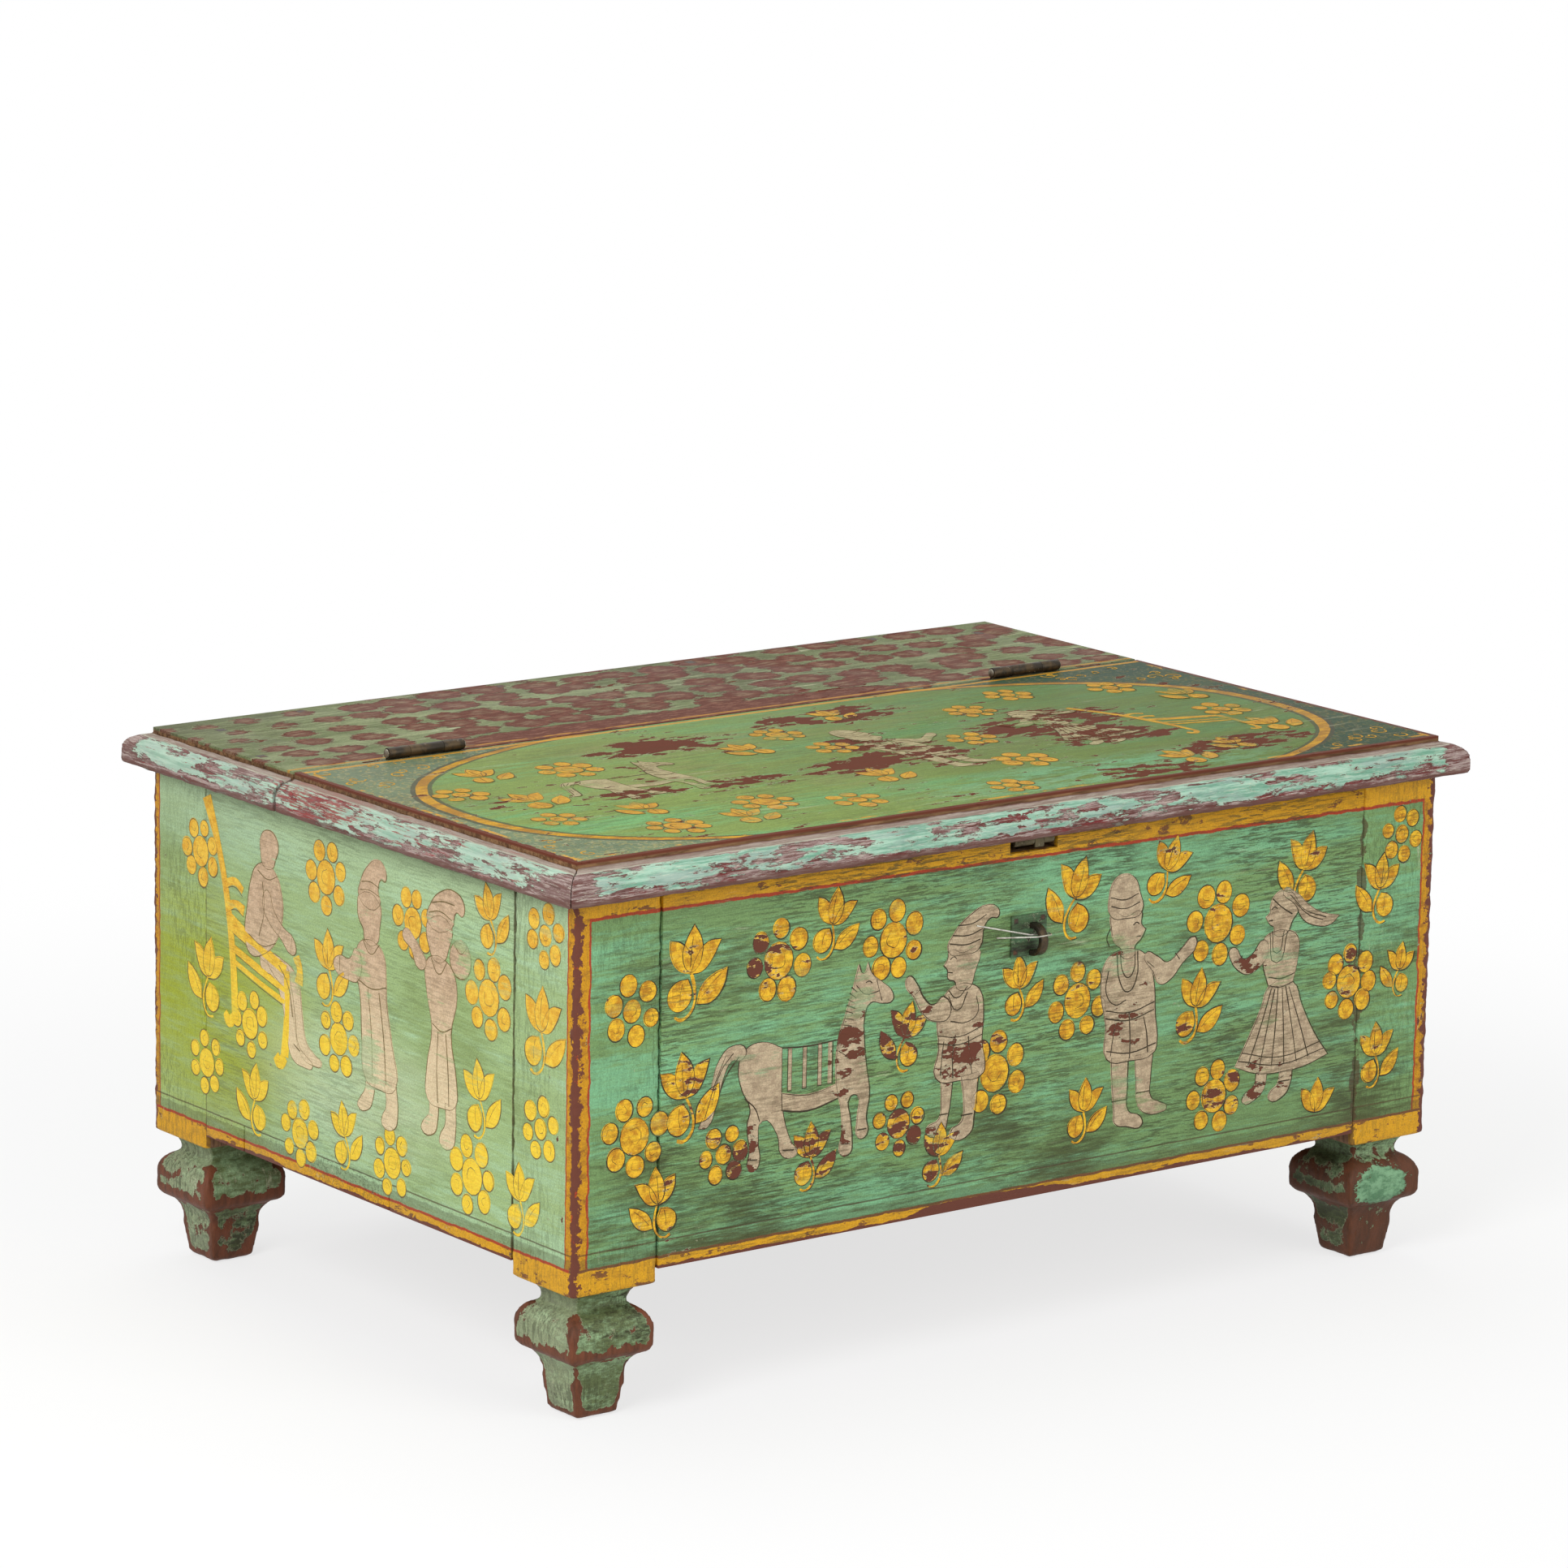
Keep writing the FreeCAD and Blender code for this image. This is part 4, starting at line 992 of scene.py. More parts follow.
def drawn(points, closed):
    """A brush line through points in millimetres; a third value marks a sharp point."""
    data = bpy.data.curves.new("drawn", "CURVE")
    data.resolution_u = 4
    spline = data.splines.new("BEZIER")
    spline.bezier_points.add(len(points) - 1)
    spline.use_cyclic_u = closed
    for knot, point in zip(spline.bezier_points, points):
        kind = "VECTOR" if len(point) > 2 else "AUTO"
        knot.handle_left_type = kind
        knot.handle_right_type = kind
        knot.co = (point[0] * MM, point[1] * MM, 0.0)
        knot.radius = hand.uniform(0.7, 1.3)
    return data


def laid(data, lift):
    """A drawn curve as an object, lifted above the face by its coat."""
    shape = bpy.data.objects.new("drawn", data)
    shape.location.z = lift
    bpy.context.scene.collection.objects.link(shape)
    return shape


def lift_of(layer):
    """How far a layer of paint stands off the face, so that later ones lie over earlier ones."""
    return coat * (0.3 + 0.12 * layer)


def fill(points, layer=0):
    """A closed shape of paint."""
    data = drawn(points, True)
    data.dimensions = "2D"
    data.fill_mode = "BOTH"
    data.extrude = coat / 2
    return laid(data, lift_of(layer))


def stroke(points, width, layer=0, closed=False):
    """A line of paint with round edges."""
    data = drawn(points, closed)
    data.dimensions = "3D"
    data.fill_mode = "FULL"
    data.bevel_depth = width / 2 * MM
    data.bevel_resolution = 0 if width < 2 else 1
    data.use_fill_caps = not closed
    shape = laid(data, lift_of(layer))
    shape.scale.z = min(1.0, 1.5 * coat / (width * MM))
    return shape


def outlined(points, paint, ink, layer=0):
    """A shape with its dark outline, drawn a little off as a quick hand does."""
    paint.append(fill(points, layer))
    across = hand.uniform(-0.3, 1.2)
    down = hand.uniform(-1.1, 0.3)
    moved = [(point[0] + across, point[1] + down) + tuple(point[2:]) for point in points]
    ink.append(stroke(moved, hand.uniform(0.9, 1.25), layer + 1, closed=True))


def placed(points, at, size=1.0, flip=1, lean=0.0):
    """Points of a motif scaled, mirrored, leant over and moved to their place."""
    turn = math.radians(lean)
    result = []
    for point in points:
        across = point[0] * size * flip
        rise = point[1] * size
        result.append((at[0] + across * math.cos(turn) + rise * math.sin(turn),
                       at[1] - across * math.sin(turn) + rise * math.cos(turn)) + tuple(point[2:]))
    return result


def oval(at, across, rise):
    """The four points of an oval."""
    return [(at[0] + across, at[1]), (at[0], at[1] + rise), (at[0] - across, at[1]), (at[0], at[1] - rise)]


def rosette(at, size, petals, paint, ink):
    """A round flower: a heart and a ring of round petals, most with a quick curl of ink in them."""
    heart, ring, petal = (13.6, 23.0, 8.2) if petals > 6 else (10.0, 22.5, 9.3)
    outlined(oval(at, heart * size, heart * 1.08 * size), paint, ink)
    start = hand.uniform(0, 1)
    for number in range(petals):
        angle = start + 2 * math.pi * number / petals + hand.uniform(-0.1, 0.1)
        reach = ring * size * hand.uniform(0.97, 1.05)
        x = at[0] + reach * math.sin(angle)
        y = at[1] + reach * 1.05 * math.cos(angle)
        across = petal * size * hand.uniform(0.9, 1.1)
        outlined(oval((x, y), across, across * hand.uniform(1.0, 1.15)), paint, ink)
        if hand.random() < 0.6:
            curl = [(-0.4, -0.3), (-0.1, 0.4), (0.4, 0.2)]
            ink.append(stroke(placed(curl, (x, y), across, 1, hand.uniform(0, 360)), fine_line, 1))
    for _ in range(2):
        arc = [(-0.5, 0.1), (0.0, 0.5), (0.5, 0.1)]
        ink.append(stroke(placed(arc, at, heart * size, 1, hand.uniform(0, 360)), fine_line, 1))


TULIP = [[(0, -17, 1), (-14, -14), (-24, -3), (-27, 11, 1), (-15, 9), (-5, 0)],
         [(-1, -17, 1), (11, -14), (20, -3), (27, 14, 1), (13, 11), (4, 0)],
         [(-1, -15), (-11, -3), (-10, 10), (-3, 26, 1), (7, 13), (9, 1), (6, -10)],
         [(-3, -21, 1), (-16, -25), (-22, -36), (-15, -48), (-3, -47), (3, -34)],
         [(9, -42, 1), (12, -27), (23, -16), (37, -10, 1), (35, -26), (24, -40)]]
TULIP_STEM = [(0, -16), (5, -28), (7, -40), (3, -51), (-5, -56), (-12, -54)]
TULIP_LINES = [[(-2, -11), (-3, 3), (-3, 15)], [(-8, -25), (-9, -35), (-8, -43)],
               [(14, -36), (22, -25), (31, -16)]]


def tulip(at, size, flip, lean, paint, ink, stem=True):
    """Three petals on a curled stem between two leaves."""
    for layer, shape in enumerate(TULIP):
        outlined(placed(shape, at, size, flip, lean), paint, ink, layer)
    for line in TULIP_LINES:
        ink.append(stroke(placed(line, at, size, flip, lean), fine_line, 5))
    if stem:
        paint.append(stroke(placed(TULIP_STEM, at, size, flip, lean), 2.8 * size))
        ink.append(stroke(placed(TULIP_STEM[1:], (at[0] + 1.4, at[1] - 0.8), size, flip, lean), 0.8))


def person(parts, lines, paint, ink, at=(0, 0), size=1.0):
    """A figure from overlapping parts, each outlined, and the lines drawn inside it."""
    for layer, part in enumerate(parts):
        outlined(placed(part, at, size), paint, ink, layer)
    for points in lines:
        ink.append(stroke(placed(points, at, size), 1.1, len(parts) + 1))


def brushed_on(name, shapes, face, material, body, slot):
    """Joins drawn shapes into one thin mesh and lays it on its face of the chest."""
    bpy.ops.object.select_all(action="DESELECT")
    for shape in shapes:
        shape.select_set(True)
    bpy.context.view_layer.objects.active = shapes[0]
    bpy.ops.object.convert(target="MESH")
    bpy.ops.object.join()
    piece = bpy.context.object
    piece.name = name
    bpy.ops.object.transform_apply(location=True, rotation=True, scale=True)
    piece.data.transform(face)
    bpy.ops.object.mode_set(mode="EDIT")
    bpy.ops.mesh.select_all(action="SELECT")
    bpy.ops.mesh.remove_doubles(threshold=0.005 * MM)
    bpy.ops.mesh.normals_make_consistent(inside=False)
    bpy.ops.object.mode_set(mode="OBJECT")
    bpy.ops.object.shade_smooth_by_angle(angle=math.radians(35))
    settle(piece, material, body, slot)


def motif_paint(name, ground, light, deep, grain, chips, thin, streaks, places, amount, faded=None):
    """Motif colour over the same ground and the same wear as the face that it is painted on."""
    on_lid = places is worn_places
    material, tree, shader, place = new_material(name, sheen=top_sheen if on_lid else carcase_sheen)
    x, y, z = axes(tree, place)
    mottle = noise(tree, place, 120.0, 6.0, 0.72)
    colour = blend(tree, ramp(tree, mottle, 0.36, 0.62), deep, light)
    if faded:
        colour = blend(tree, ramp(tree, z, 370 * MM, 240 * MM), colour, faded, 0.55)
    under = use(tree, ground, Vector=place)["Color"]
    rubbed = noise(tree, stretch(tree, place, grain), 150.0, 6.0, 0.76)
    rubbed = plus(tree, rubbed, minus(tree, noise(tree, place, 16.0, 2.0), 0.5))
    colour = blend(tree, times(tree, ramp(tree, rubbed, 0.60, 0.68), thin), colour, under)
    knocked = chips
    for centre, reach in places:
        rise = y if on_lid else z
        knocked = raised(tree, knocked, spot(tree, x, rise, centre, reach), amount)
    worn = aged(tree, place, grain, colour, streaks=streaks, scuffs=0.3, chips=knocked,
                dark=shade(66, 56, 24))
    surface(tree, shader, worn["Color"], worn["Roughness"], worn["Height"], depth=0.4 * MM)
    return material


def face_matrix(across, rise, out, origin):
    """Turns drawing places (across, rise, height) into places on one face of the chest."""
    return Matrix.Translation(origin) @ Matrix((across, rise, out)).transposed().to_4x4()


front_face = face_matrix((1, 0, 0), (0, 0, 1), (0, -1, 0), (0, -half_depth, 0))
gold = []
beige = []
ink = []
for at, size, petals in (((-270, 378), 1.12, 7), ((-147, 380), 1.08, 7), ((-422, 355), 0.92, 6),
                         ((-418, 247), 1.1, 7), ((-325, 217), 0.8, 6), ((-137, 216), 0.9, 7),
                         ((-32, 246), 1.15, 7), ((221, 347), 1.2, 7), ((60, 298), 1.08, 7),
                         ((222, 188), 1.05, 7), ((380, 272), 1.05, 8), ((439, 402), 0.78, 6)):
    rosette(at, size, petals, gold, ink)
for at, size, flip, lean in (((-359, 395), 1.0, 1, 8), ((-210, 414), 0.78, 1, 14),
                             ((-130, 304), 0.75, -1, 10), ((-366, 288), 0.95, 1, -4),
                             ((-395, 197), 0.78, -1, -8), ((-231, 213), 0.74, 1, 4),
                             ((-90, 192), 0.7, 1, 8), ((58, 405), 0.9, -1, 14), ((165, 414), 0.78, 1, 24),
                             ((324, 397), 0.85, -1, 12), ((415, 367), 0.8, -1, 4),
                             ((442, 285), 0.62, -1, 6), ((-6, 330), 0.72, 1, 0), ((201, 287), 0.85, 1, 14),
                             ((72, 208), 0.72, 1, 8), ((417, 210), 0.75, 1, 2)):
    tulip(at, size, flip, lean, gold, ink)
for shape in TULIP[:3]:
    outlined(placed(shape, (346, 168), 0.75, 1, 10), gold, ink)

HORSE = [[(-304, 304), (-285, 309), (-264, 301, 1), (-264, 256, 1), (-260, 236), (-252, 216), (-246, 208),
          (-252, 203), (-263, 207), (-268, 226), (-284, 240), (-288, 222), (-286, 206), (-290, 198),
          (-298, 199), (-297, 216), (-300, 238), (-297, 252), (-306, 270), (-310, 290)],
         [(-264, 262, 1), (-236, 257), (-204, 262, 1), (-204, 249, 1), (-236, 243), (-264, 247, 1)],
         [(-205, 300), (-199, 318), (-191, 340), (-187, 354), (-184, 364, 1), (-179, 355), (-174, 364, 1),
          (-170, 354), (-159, 345), (-147, 334), (-147, 327), (-158, 326), (-171, 328), (-177, 316),
          (-177, 300), (-174, 274), (-170, 248), (-173, 228), (-172, 212), (-181, 210), (-183, 228),
          (-183, 248), (-191, 248), (-190, 228), (-188, 210), (-190, 198), (-200, 198), (-199, 218),
          (-201, 240), (-206, 258)],
         [(-303, 305), (-318, 310), (-331, 300), (-339, 278), (-346, 256), (-352, 243, 1), (-343, 243),
          (-334, 260), (-327, 282), (-318, 297), (-307, 297)]]
HORSE_LINES = [[(-264, 301), (-236, 299), (-205, 300)], [(-176, 346), (-172, 347), (-169, 345)],
               [(-195, 334), (-188, 330)], [(-197, 324), (-189, 321)], [(-191, 344), (-185, 339)],
               [(-199, 312), (-190, 310)], [(-193, 339), (-186, 334)], [(-196, 329), (-187, 325)],
               [(-198, 318), (-188, 315)], [(-201, 305), (-191, 303)],
               [(-316, 304), (-329, 290), (-338, 262)], [(-324, 303), (-335, 280), (-345, 252)],
               [(-310, 300), (-324, 284), (-335, 256)], [(-164, 347), (-161, 337), (-158, 328)],
               [(-161, 337), (-176, 336), (-186, 345)], [(-204, 290), (-190, 283), (-176, 288)],
               [(-303, 262), (-292, 252), (-287, 240)], [(-298, 208), (-289, 207)],
               [(-199, 207), (-189, 206)], [(-182, 217), (-172, 217)], [(-262, 211), (-250, 210)]]
person(HORSE, HORSE_LINES, beige, ink)
for x in (-256, -240, -224, -213):
    outlined([(x - 2, 300, 1), (x - 2, 263, 1), (x + 2, 263, 1), (x + 2, 300, 1)], beige, ink)

MAN_LEFT = [[(-92, 250, 1), (-91, 230), (-93, 214), (-106, 208), (-106, 202), (-88, 201), (-83, 214),
             (-78, 250, 1)],
            [(-70, 248, 1), (-66, 226), (-68, 208), (-80, 201), (-80, 195), (-58, 196), (-54, 212),
             (-50, 250, 1)],
            [(-88, 325), (-76, 331), (-62, 330), (-50, 322), (-46, 300), (-47, 276), (-43, 256), (-45, 248),
             (-70, 245), (-98, 251), (-95, 276), (-97, 306)],
            [(-85, 363), (-87, 355), (-91, 350, 1), (-87, 346), (-86, 338), (-78, 334), (-76, 328),
             (-62, 327), (-57, 338), (-53, 362), (-70, 359)],
            [(-87, 362), (-80, 378), (-64, 391), (-44, 398), (-33, 394), (-32, 386), (-40, 386), (-47, 380),
             (-52, 361), (-70, 357)],
            [(-91, 322), (-102, 316), (-113, 324), (-121, 338), (-130, 345), (-133, 338), (-124, 326),
             (-114, 310), (-100, 301), (-84, 304)]]
MAN_LEFT_LINES = [[(-96, 288), (-72, 284), (-47, 290)], [(-77, 284), (-79, 266), (-78, 248)],
                  [(-85, 327), (-76, 319), (-64, 328)], [(-84, 354), (-80, 356), (-77, 354)],
                  [(-86, 343), (-81, 342)], [(-85, 368), (-66, 365), (-51, 368)],
                  [(-82, 375), (-64, 373), (-49, 377)], [(-54, 318), (-52, 303), (-64, 296), (-82, 299)],
                  [(-76, 383), (-60, 383), (-45, 389)], [(-89, 282), (-91, 266), (-92, 252)],
                  [(-62, 283), (-60, 266), (-57, 249)], [(-85, 322), (-75, 308), (-64, 323)],
                  [(-96, 281), (-72, 277), (-46, 283)], [(-122, 328), (-115, 333)],
                  [(-92, 217), (-83, 217)], [(-68, 213), (-55, 213)]]
person(MAN_LEFT, MAN_LEFT_LINES, beige, ink)

MAN_RIGHT = [[(100, 240, 1), (102, 214), (105, 190), (106, 180), (120, 175), (138, 174), (136, 182),
              (122, 189), (120, 212), (120, 238, 1)],
             [(128, 238, 1), (130, 214), (133, 192), (142, 184), (158, 182), (167, 186), (158, 192),
              (148, 198), (147, 216), (149, 240, 1)],
             [(92, 330), (106, 337), (124, 336), (138, 328), (147, 306), (150, 274), (153, 246), (150, 239),
              (122, 235), (95, 240), (93, 270), (86, 306)],
             [(97, 372), (96, 358), (101, 344), (108, 338), (108, 332), (123, 331), (124, 339), (131, 345),
              (136, 353, 1), (131, 358), (130, 370), (112, 367)],
             [(95, 370), (93, 388), (98, 401), (110, 406), (122, 401), (128, 388), (131, 370), (112, 366)],
             [(136, 330), (146, 312), (154, 300), (165, 302), (180, 316), (196, 331), (193, 338),
              (178, 329), (162, 319), (152, 325)]]
MAN_RIGHT_LINES = [[(108, 333), (112, 316), (118, 311), (124, 317), (125, 332)],
                   [(93, 284), (120, 279), (149, 285)], [(120, 279), (122, 256), (122, 237)],
                   [(122, 358), (126, 360), (129, 358)], [(126, 347), (131, 347)],
                   [(96, 378), (112, 374), (129, 378)], [(95, 386), (112, 382), (127, 386)],
                   [(95, 320), (93, 300), (104, 288), (116, 291)], [(96, 358), (92, 350), (95, 342)],
                   [(104, 335), (109, 307), (118, 298), (127, 308), (128, 334)],
                   [(93, 277), (120, 272), (149, 278)], [(105, 271), (102, 257), (100, 242)],
                   [(137, 273), (141, 258), (143, 240)], [(95, 247), (122, 242), (152, 247)],
                   [(177, 320), (172, 326)], [(139, 323), (148, 316)], [(103, 200), (121, 200)],
                   [(131, 204), (147, 204)]]
person(MAN_RIGHT, MAN_RIGHT_LINES, beige, ink)

WOMAN = [[(272, 202, 1), (270, 191), (257, 182), (257, 176), (273, 178), (282, 186), (285, 201, 1)],
         [(300, 200, 1), (298, 189), (288, 181), (288, 175), (306, 177), (313, 187), (315, 201, 1)],
         [(284, 281), (312, 281), (324, 258), (340, 230), (357, 208, 1), (330, 201), (300, 199), (270, 202),
          (246, 211, 1), (262, 238), (275, 262)],
         [(276, 325), (288, 331), (302, 331), (317, 323), (318, 304), (312, 280, 1), (284, 280, 1),
          (276, 304)],
         [(282, 354), (287, 364), (299, 368), (311, 361), (316, 348), (309, 338), (303, 328), (288, 328),
          (287, 335), (282, 338), (277, 345, 1), (282, 349)],
         [(298, 368), (314, 363), (328, 351), (346, 341), (366, 336, 1), (356, 329), (338, 330), (322, 338),
          (313, 352)],
         [(277, 324), (262, 312), (252, 310), (243, 321), (236, 320), (238, 310), (248, 299), (258, 295),
          (272, 300), (281, 310)]]
WOMAN_LINES = [[(284, 281), (298, 278), (312, 281)], [(250, 216), (300, 206), (353, 214)],
               [(291, 277), (283, 240), (276, 208)], [(300, 277), (303, 240), (305, 206)],
               [(308, 277), (322, 242), (334, 209)], [(286, 331), (292, 310), (300, 330)],
               [(284, 351), (288, 353), (291, 351)], [(281, 341), (286, 341)],
               [(287, 278), (274, 240), (262, 211)], [(304, 278), (313, 240), (320, 206)],
               [(295, 278), (293, 240), (290, 206)], [(254, 223), (300, 213), (348, 221)],
               [(283, 330), (292, 301), (304, 329)], [(283, 289), (298, 286), (314, 289)],
               [(306, 362), (324, 346), (350, 336)], [(312, 354), (330, 340), (346, 334)],
               [(285, 361), (296, 352), (309, 344)], [(244, 307), (251, 313)], [(271, 192), (283, 191)],
               [(299, 190), (313, 190)]]
person(WOMAN, WOMAN_LINES, beige, ink)

knocked_places = patches(((-270, 378, 60, 45), (-185, 275, 55, 60), (-130, 300, 45, 40),
                          (-140, 212, 45, 40), (-228, 210, 50, 45), (-85, 190, 55, 45), (-72, 262, 34, 30),
                          (-285, 215, 40, 45), (290, 195, 70, 35), (250, 300, 40, 25), (375, 280, 40, 40),
                          (115, 265, 30, 35)))
gold_paint = motif_paint("front_gold", carcase_paint, shade(232, 184, 42), shade(184, 126, 24), GRAIN_X,
                         chips=0.38, thin=0.25, streaks=0.5, places=knocked_places, amount=0.4)
beige_paint = motif_paint("front_beige", carcase_paint, shade(188, 168, 138), shade(158, 138, 112), GRAIN_X,
                          chips=0.28, thin=0.5, streaks=0.45, places=knocked_places, amount=0.4)
ink_paint = motif_paint("front_ink", carcase_paint, shade(60, 48, 28), shade(44, 36, 20), GRAIN_X,
                        chips=0.1, thin=0.3, streaks=0.2, places=knocked_places, amount=0.4)
brushed_on("front_flowers", gold, front_face, gold_paint, "chest", "painted_panels")
brushed_on("front_figures", beige, front_face, beige_paint, "chest", "painted_panels")
brushed_on("front_outlines", ink, front_face, ink_paint, "chest", "painted_panels")


# Side painting: the same flowers, a seated figure on a yellow chair and two standing ones, paler
# than the front, partly in their own paint and partly as a painted sheen. The right side isn't seen,
# so it has the flowers alone.

left_face = face_matrix((0, 1, 0), (0, 0, 1), (-1, 0, 0), (-half_width, 0, 0))
right_face = face_matrix((0, 1, 0), (0, 0, 1), (1, 0, 0), (half_width, 0, 0))
side_rosettes = (((247, 389), 0.95, 7), ((45, 404), 1.05, 7), ((-89, 390), 0.95, 7), ((-284, 418), 0.85, 6),
                 ((-203, 348), 1.1, 7), ((24, 264), 1.0, 7), ((166, 248), 0.95, 7), ((237, 197), 0.9, 7),
                 ((85, 166), 0.95, 7), ((-60, 172), 0.95, 7), ((-180, 188), 1.1, 7), ((-280, 252), 0.85, 6))
side_tulips = (((-202, 428), 0.75, -1, 10), ((-281, 350), 0.95, -1, -6), ((40, 337), 0.85, -1, 0),
               ((234, 291), 0.9, 1, -4), ((158, 193), 0.8, 1, 0), ((15, 191), 0.75, -1, 6),
               ((-190, 271), 0.85, -1, 4), ((-251, 196), 0.78, -1, 0))
CHAIR = [([(237, 441), (218, 400), (203, 352), (194, 300), (190, 252)], 9.0),
         ([(190, 252), (200, 243), (207, 250)], 8.0), ([(198, 334), (160, 322), (108, 308)], 11.0),
         ([(196, 312), (150, 300), (110, 290)], 5.0), ([(195, 300), (150, 288), (110, 279)], 5.0),
         ([(107, 308), (106, 270), (110, 230)], 8.0), ([(110, 230), (118, 222), (124, 228)], 7.0),
         ([(206, 368), (190, 372), (178, 366)], 7.0), ([(204, 346), (190, 352), (176, 348)], 7.0),
         ([(92, 324), (86, 312), (88, 300)], 9.0)]
SEATED = [[(140, 322), (112, 324), (88, 312), (80, 280), (72, 252), (58, 243), (46, 236), (60, 232),
           (82, 238), (92, 262), (102, 292), (128, 306)],
          [(150, 326), (128, 320), (110, 322), (99, 300), (92, 270), (86, 246), (72, 238), (62, 231),
           (78, 227), (98, 232), (107, 254), (116, 284), (130, 304), (152, 310)],
          [(160, 408), (142, 413), (126, 406), (116, 388), (114, 368), (124, 342), (150, 322), (172, 320),
           (180, 336), (176, 366), (170, 392)],
          [(152, 440), (140, 447), (127, 443), (122, 432), (127, 420), (132, 411), (148, 411), (153, 424)],
          [(142, 388), (130, 370), (112, 356), (97, 350), (92, 336), (100, 333), (118, 345), (136, 355),
           (150, 374)]]
STANDING = [[(-18, 234, 1), (-16, 218), (-8, 208), (-4, 200), (-22, 200), (-30, 214), (-33, 232, 1)],
            [(-46, 232, 1), (-50, 208), (-44, 198), (-44, 190), (-64, 190), (-69, 206), (-66, 232, 1)],
            [(-4, 350), (-18, 358), (-34, 357), (-46, 348), (-50, 326), (-51, 306), (-60, 268), (-66, 228),
             (-40, 222), (-17, 228), (-11, 264), (-8, 304), (0, 330)],
            [(-6, 398), (-3, 386), (-5, 376), (-13, 366), (-15, 357), (-34, 357), (-39, 372), (-38, 396)],
            [(-5, 396), (-8, 412), (-18, 426), (-34, 435), (-46, 430), (-48, 418), (-40, 418), (-36, 406),
             (-39, 394)], [(-2, 346), (10, 334), (26, 334), (36, 326), (32, 318), (16, 314), (-6, 318)]]
CARRYING = [[(-138, 246, 1), (-138, 232), (-128, 222), (-126, 214), (-146, 214), (-152, 228),
             (-153, 246, 1)],
            [(-164, 246, 1), (-164, 226), (-156, 214), (-156, 206), (-176, 206), (-181, 222),
             (-181, 246, 1)],
            [(-132, 372), (-146, 381), (-160, 380), (-176, 371), (-182, 348), (-173, 312), (-182, 270),
             (-181, 246), (-160, 240), (-136, 244), (-134, 272), (-142, 312), (-133, 346)],
            [(-136, 414), (-132, 402), (-136, 390), (-143, 379), (-160, 379), (-168, 392), (-172, 414)],
            [(-134, 412), (-140, 430), (-156, 443), (-176, 447), (-192, 438), (-190, 426), (-180, 428),
             (-173, 412)], oval((-187, 386), 17, 18),
            [(-133, 370), (-120, 364), (-108, 380), (-94, 390), (-99, 398), (-112, 392), (-126, 380)]]
SEATED_LINES = [[(174, 338), (150, 331), (127, 338)], [(150, 394), (147, 366), (156, 340)],
                [(121, 318), (105, 302), (97, 272)], [(98, 350), (101, 335)], [(95, 246), (84, 241)],
                [(158, 404), (141, 398), (124, 404)]]
STANDING_LINES = [[(-7, 402), (-22, 404), (-38, 401)], [(-9, 410), (-24, 412), (-37, 409)],
                  [(-3, 318), (-26, 313), (-50, 319)], [(-20, 312), (-26, 272), (-28, 230)],
                  [(-38, 312), (-46, 270), (-50, 228)], [(-11, 357), (-24, 345), (-38, 356)],
                  [(26, 333), (26, 319)]]
CARRYING_LINES = [[(-136, 420), (-154, 424), (-173, 419)], [(-141, 430), (-158, 434), (-177, 434)],
                  [(-142, 317), (-158, 312), (-173, 318)], [(-152, 311), (-150, 278), (-152, 244)],
                  [(-164, 311), (-168, 280), (-170, 244)], [(-140, 378), (-152, 365), (-165, 378)],
                  [(-197, 398), (-187, 391), (-177, 398)]]


def side_flowers():
    """The flowers of one side, as shapes of gold and of ink."""
    gold = []
    ink = []
    for at, size, petals in side_rosettes:
        rosette(at, size, petals, gold, ink)
    for at, size, flip, lean in side_tulips:
        tulip(at, size, flip, lean, gold, ink)
    return gold, ink


gold, ink = side_flowers()
beige = []
for points, width in CHAIR:
    gold.append(stroke(points, width * 1.3, 3))
    ink.append(stroke([(x + 1, z - 1 - width * 0.6) for x, z in points], 0.8, 1))
person(SEATED, SEATED_LINES, beige, ink, (8, 18), 0.92)
person(STANDING, STANDING_LINES, beige, ink, (-2, 22), 0.95)
person(CARRYING, CARRYING_LINES, beige, ink, (13, 14), 0.93)
# The side motifs are paler than the front's, partly in their own colours and partly as a painted sheen.
side_gold = motif_paint("side_gold", carcase_paint, shade(228, 186, 64), shade(210, 154, 42), GRAIN_Y,
                        chips=0.06, thin=0.3, streaks=0.2, places=[], amount=0.0, faded=shade(240, 212, 50))
side_beige = motif_paint("side_beige", carcase_paint, shade(198, 170, 140), shade(180, 152, 122), GRAIN_Y,
                         chips=0.06, thin=0.72, streaks=0.25, places=[], amount=0.0,
                         faded=shade(228, 212, 170))
side_ink = motif_paint("side_ink", carcase_paint, shade(128, 108, 68), shade(98, 84, 50), GRAIN_Y,
                       chips=0.1, thin=0.6, streaks=0.2, places=[], amount=0.0)
brushed_on("left_flowers", gold, left_face, side_gold, "chest", "painted_panels")
brushed_on("left_figures", beige, left_face, side_beige, "chest", "painted_panels")
brushed_on("left_outlines", ink, left_face, side_ink, "chest", "painted_panels")
gold, ink = side_flowers()
brushed_on("right_flowers", gold, right_face, side_gold, "chest", "painted_panels")
brushed_on("right_outlines", ink, right_face, side_ink, "chest", "painted_panels")


# Lid painting: flowers, a horse and figures inside the oval, rubbed far down by use, and small
# yellow scrolls in the four corners outside it.

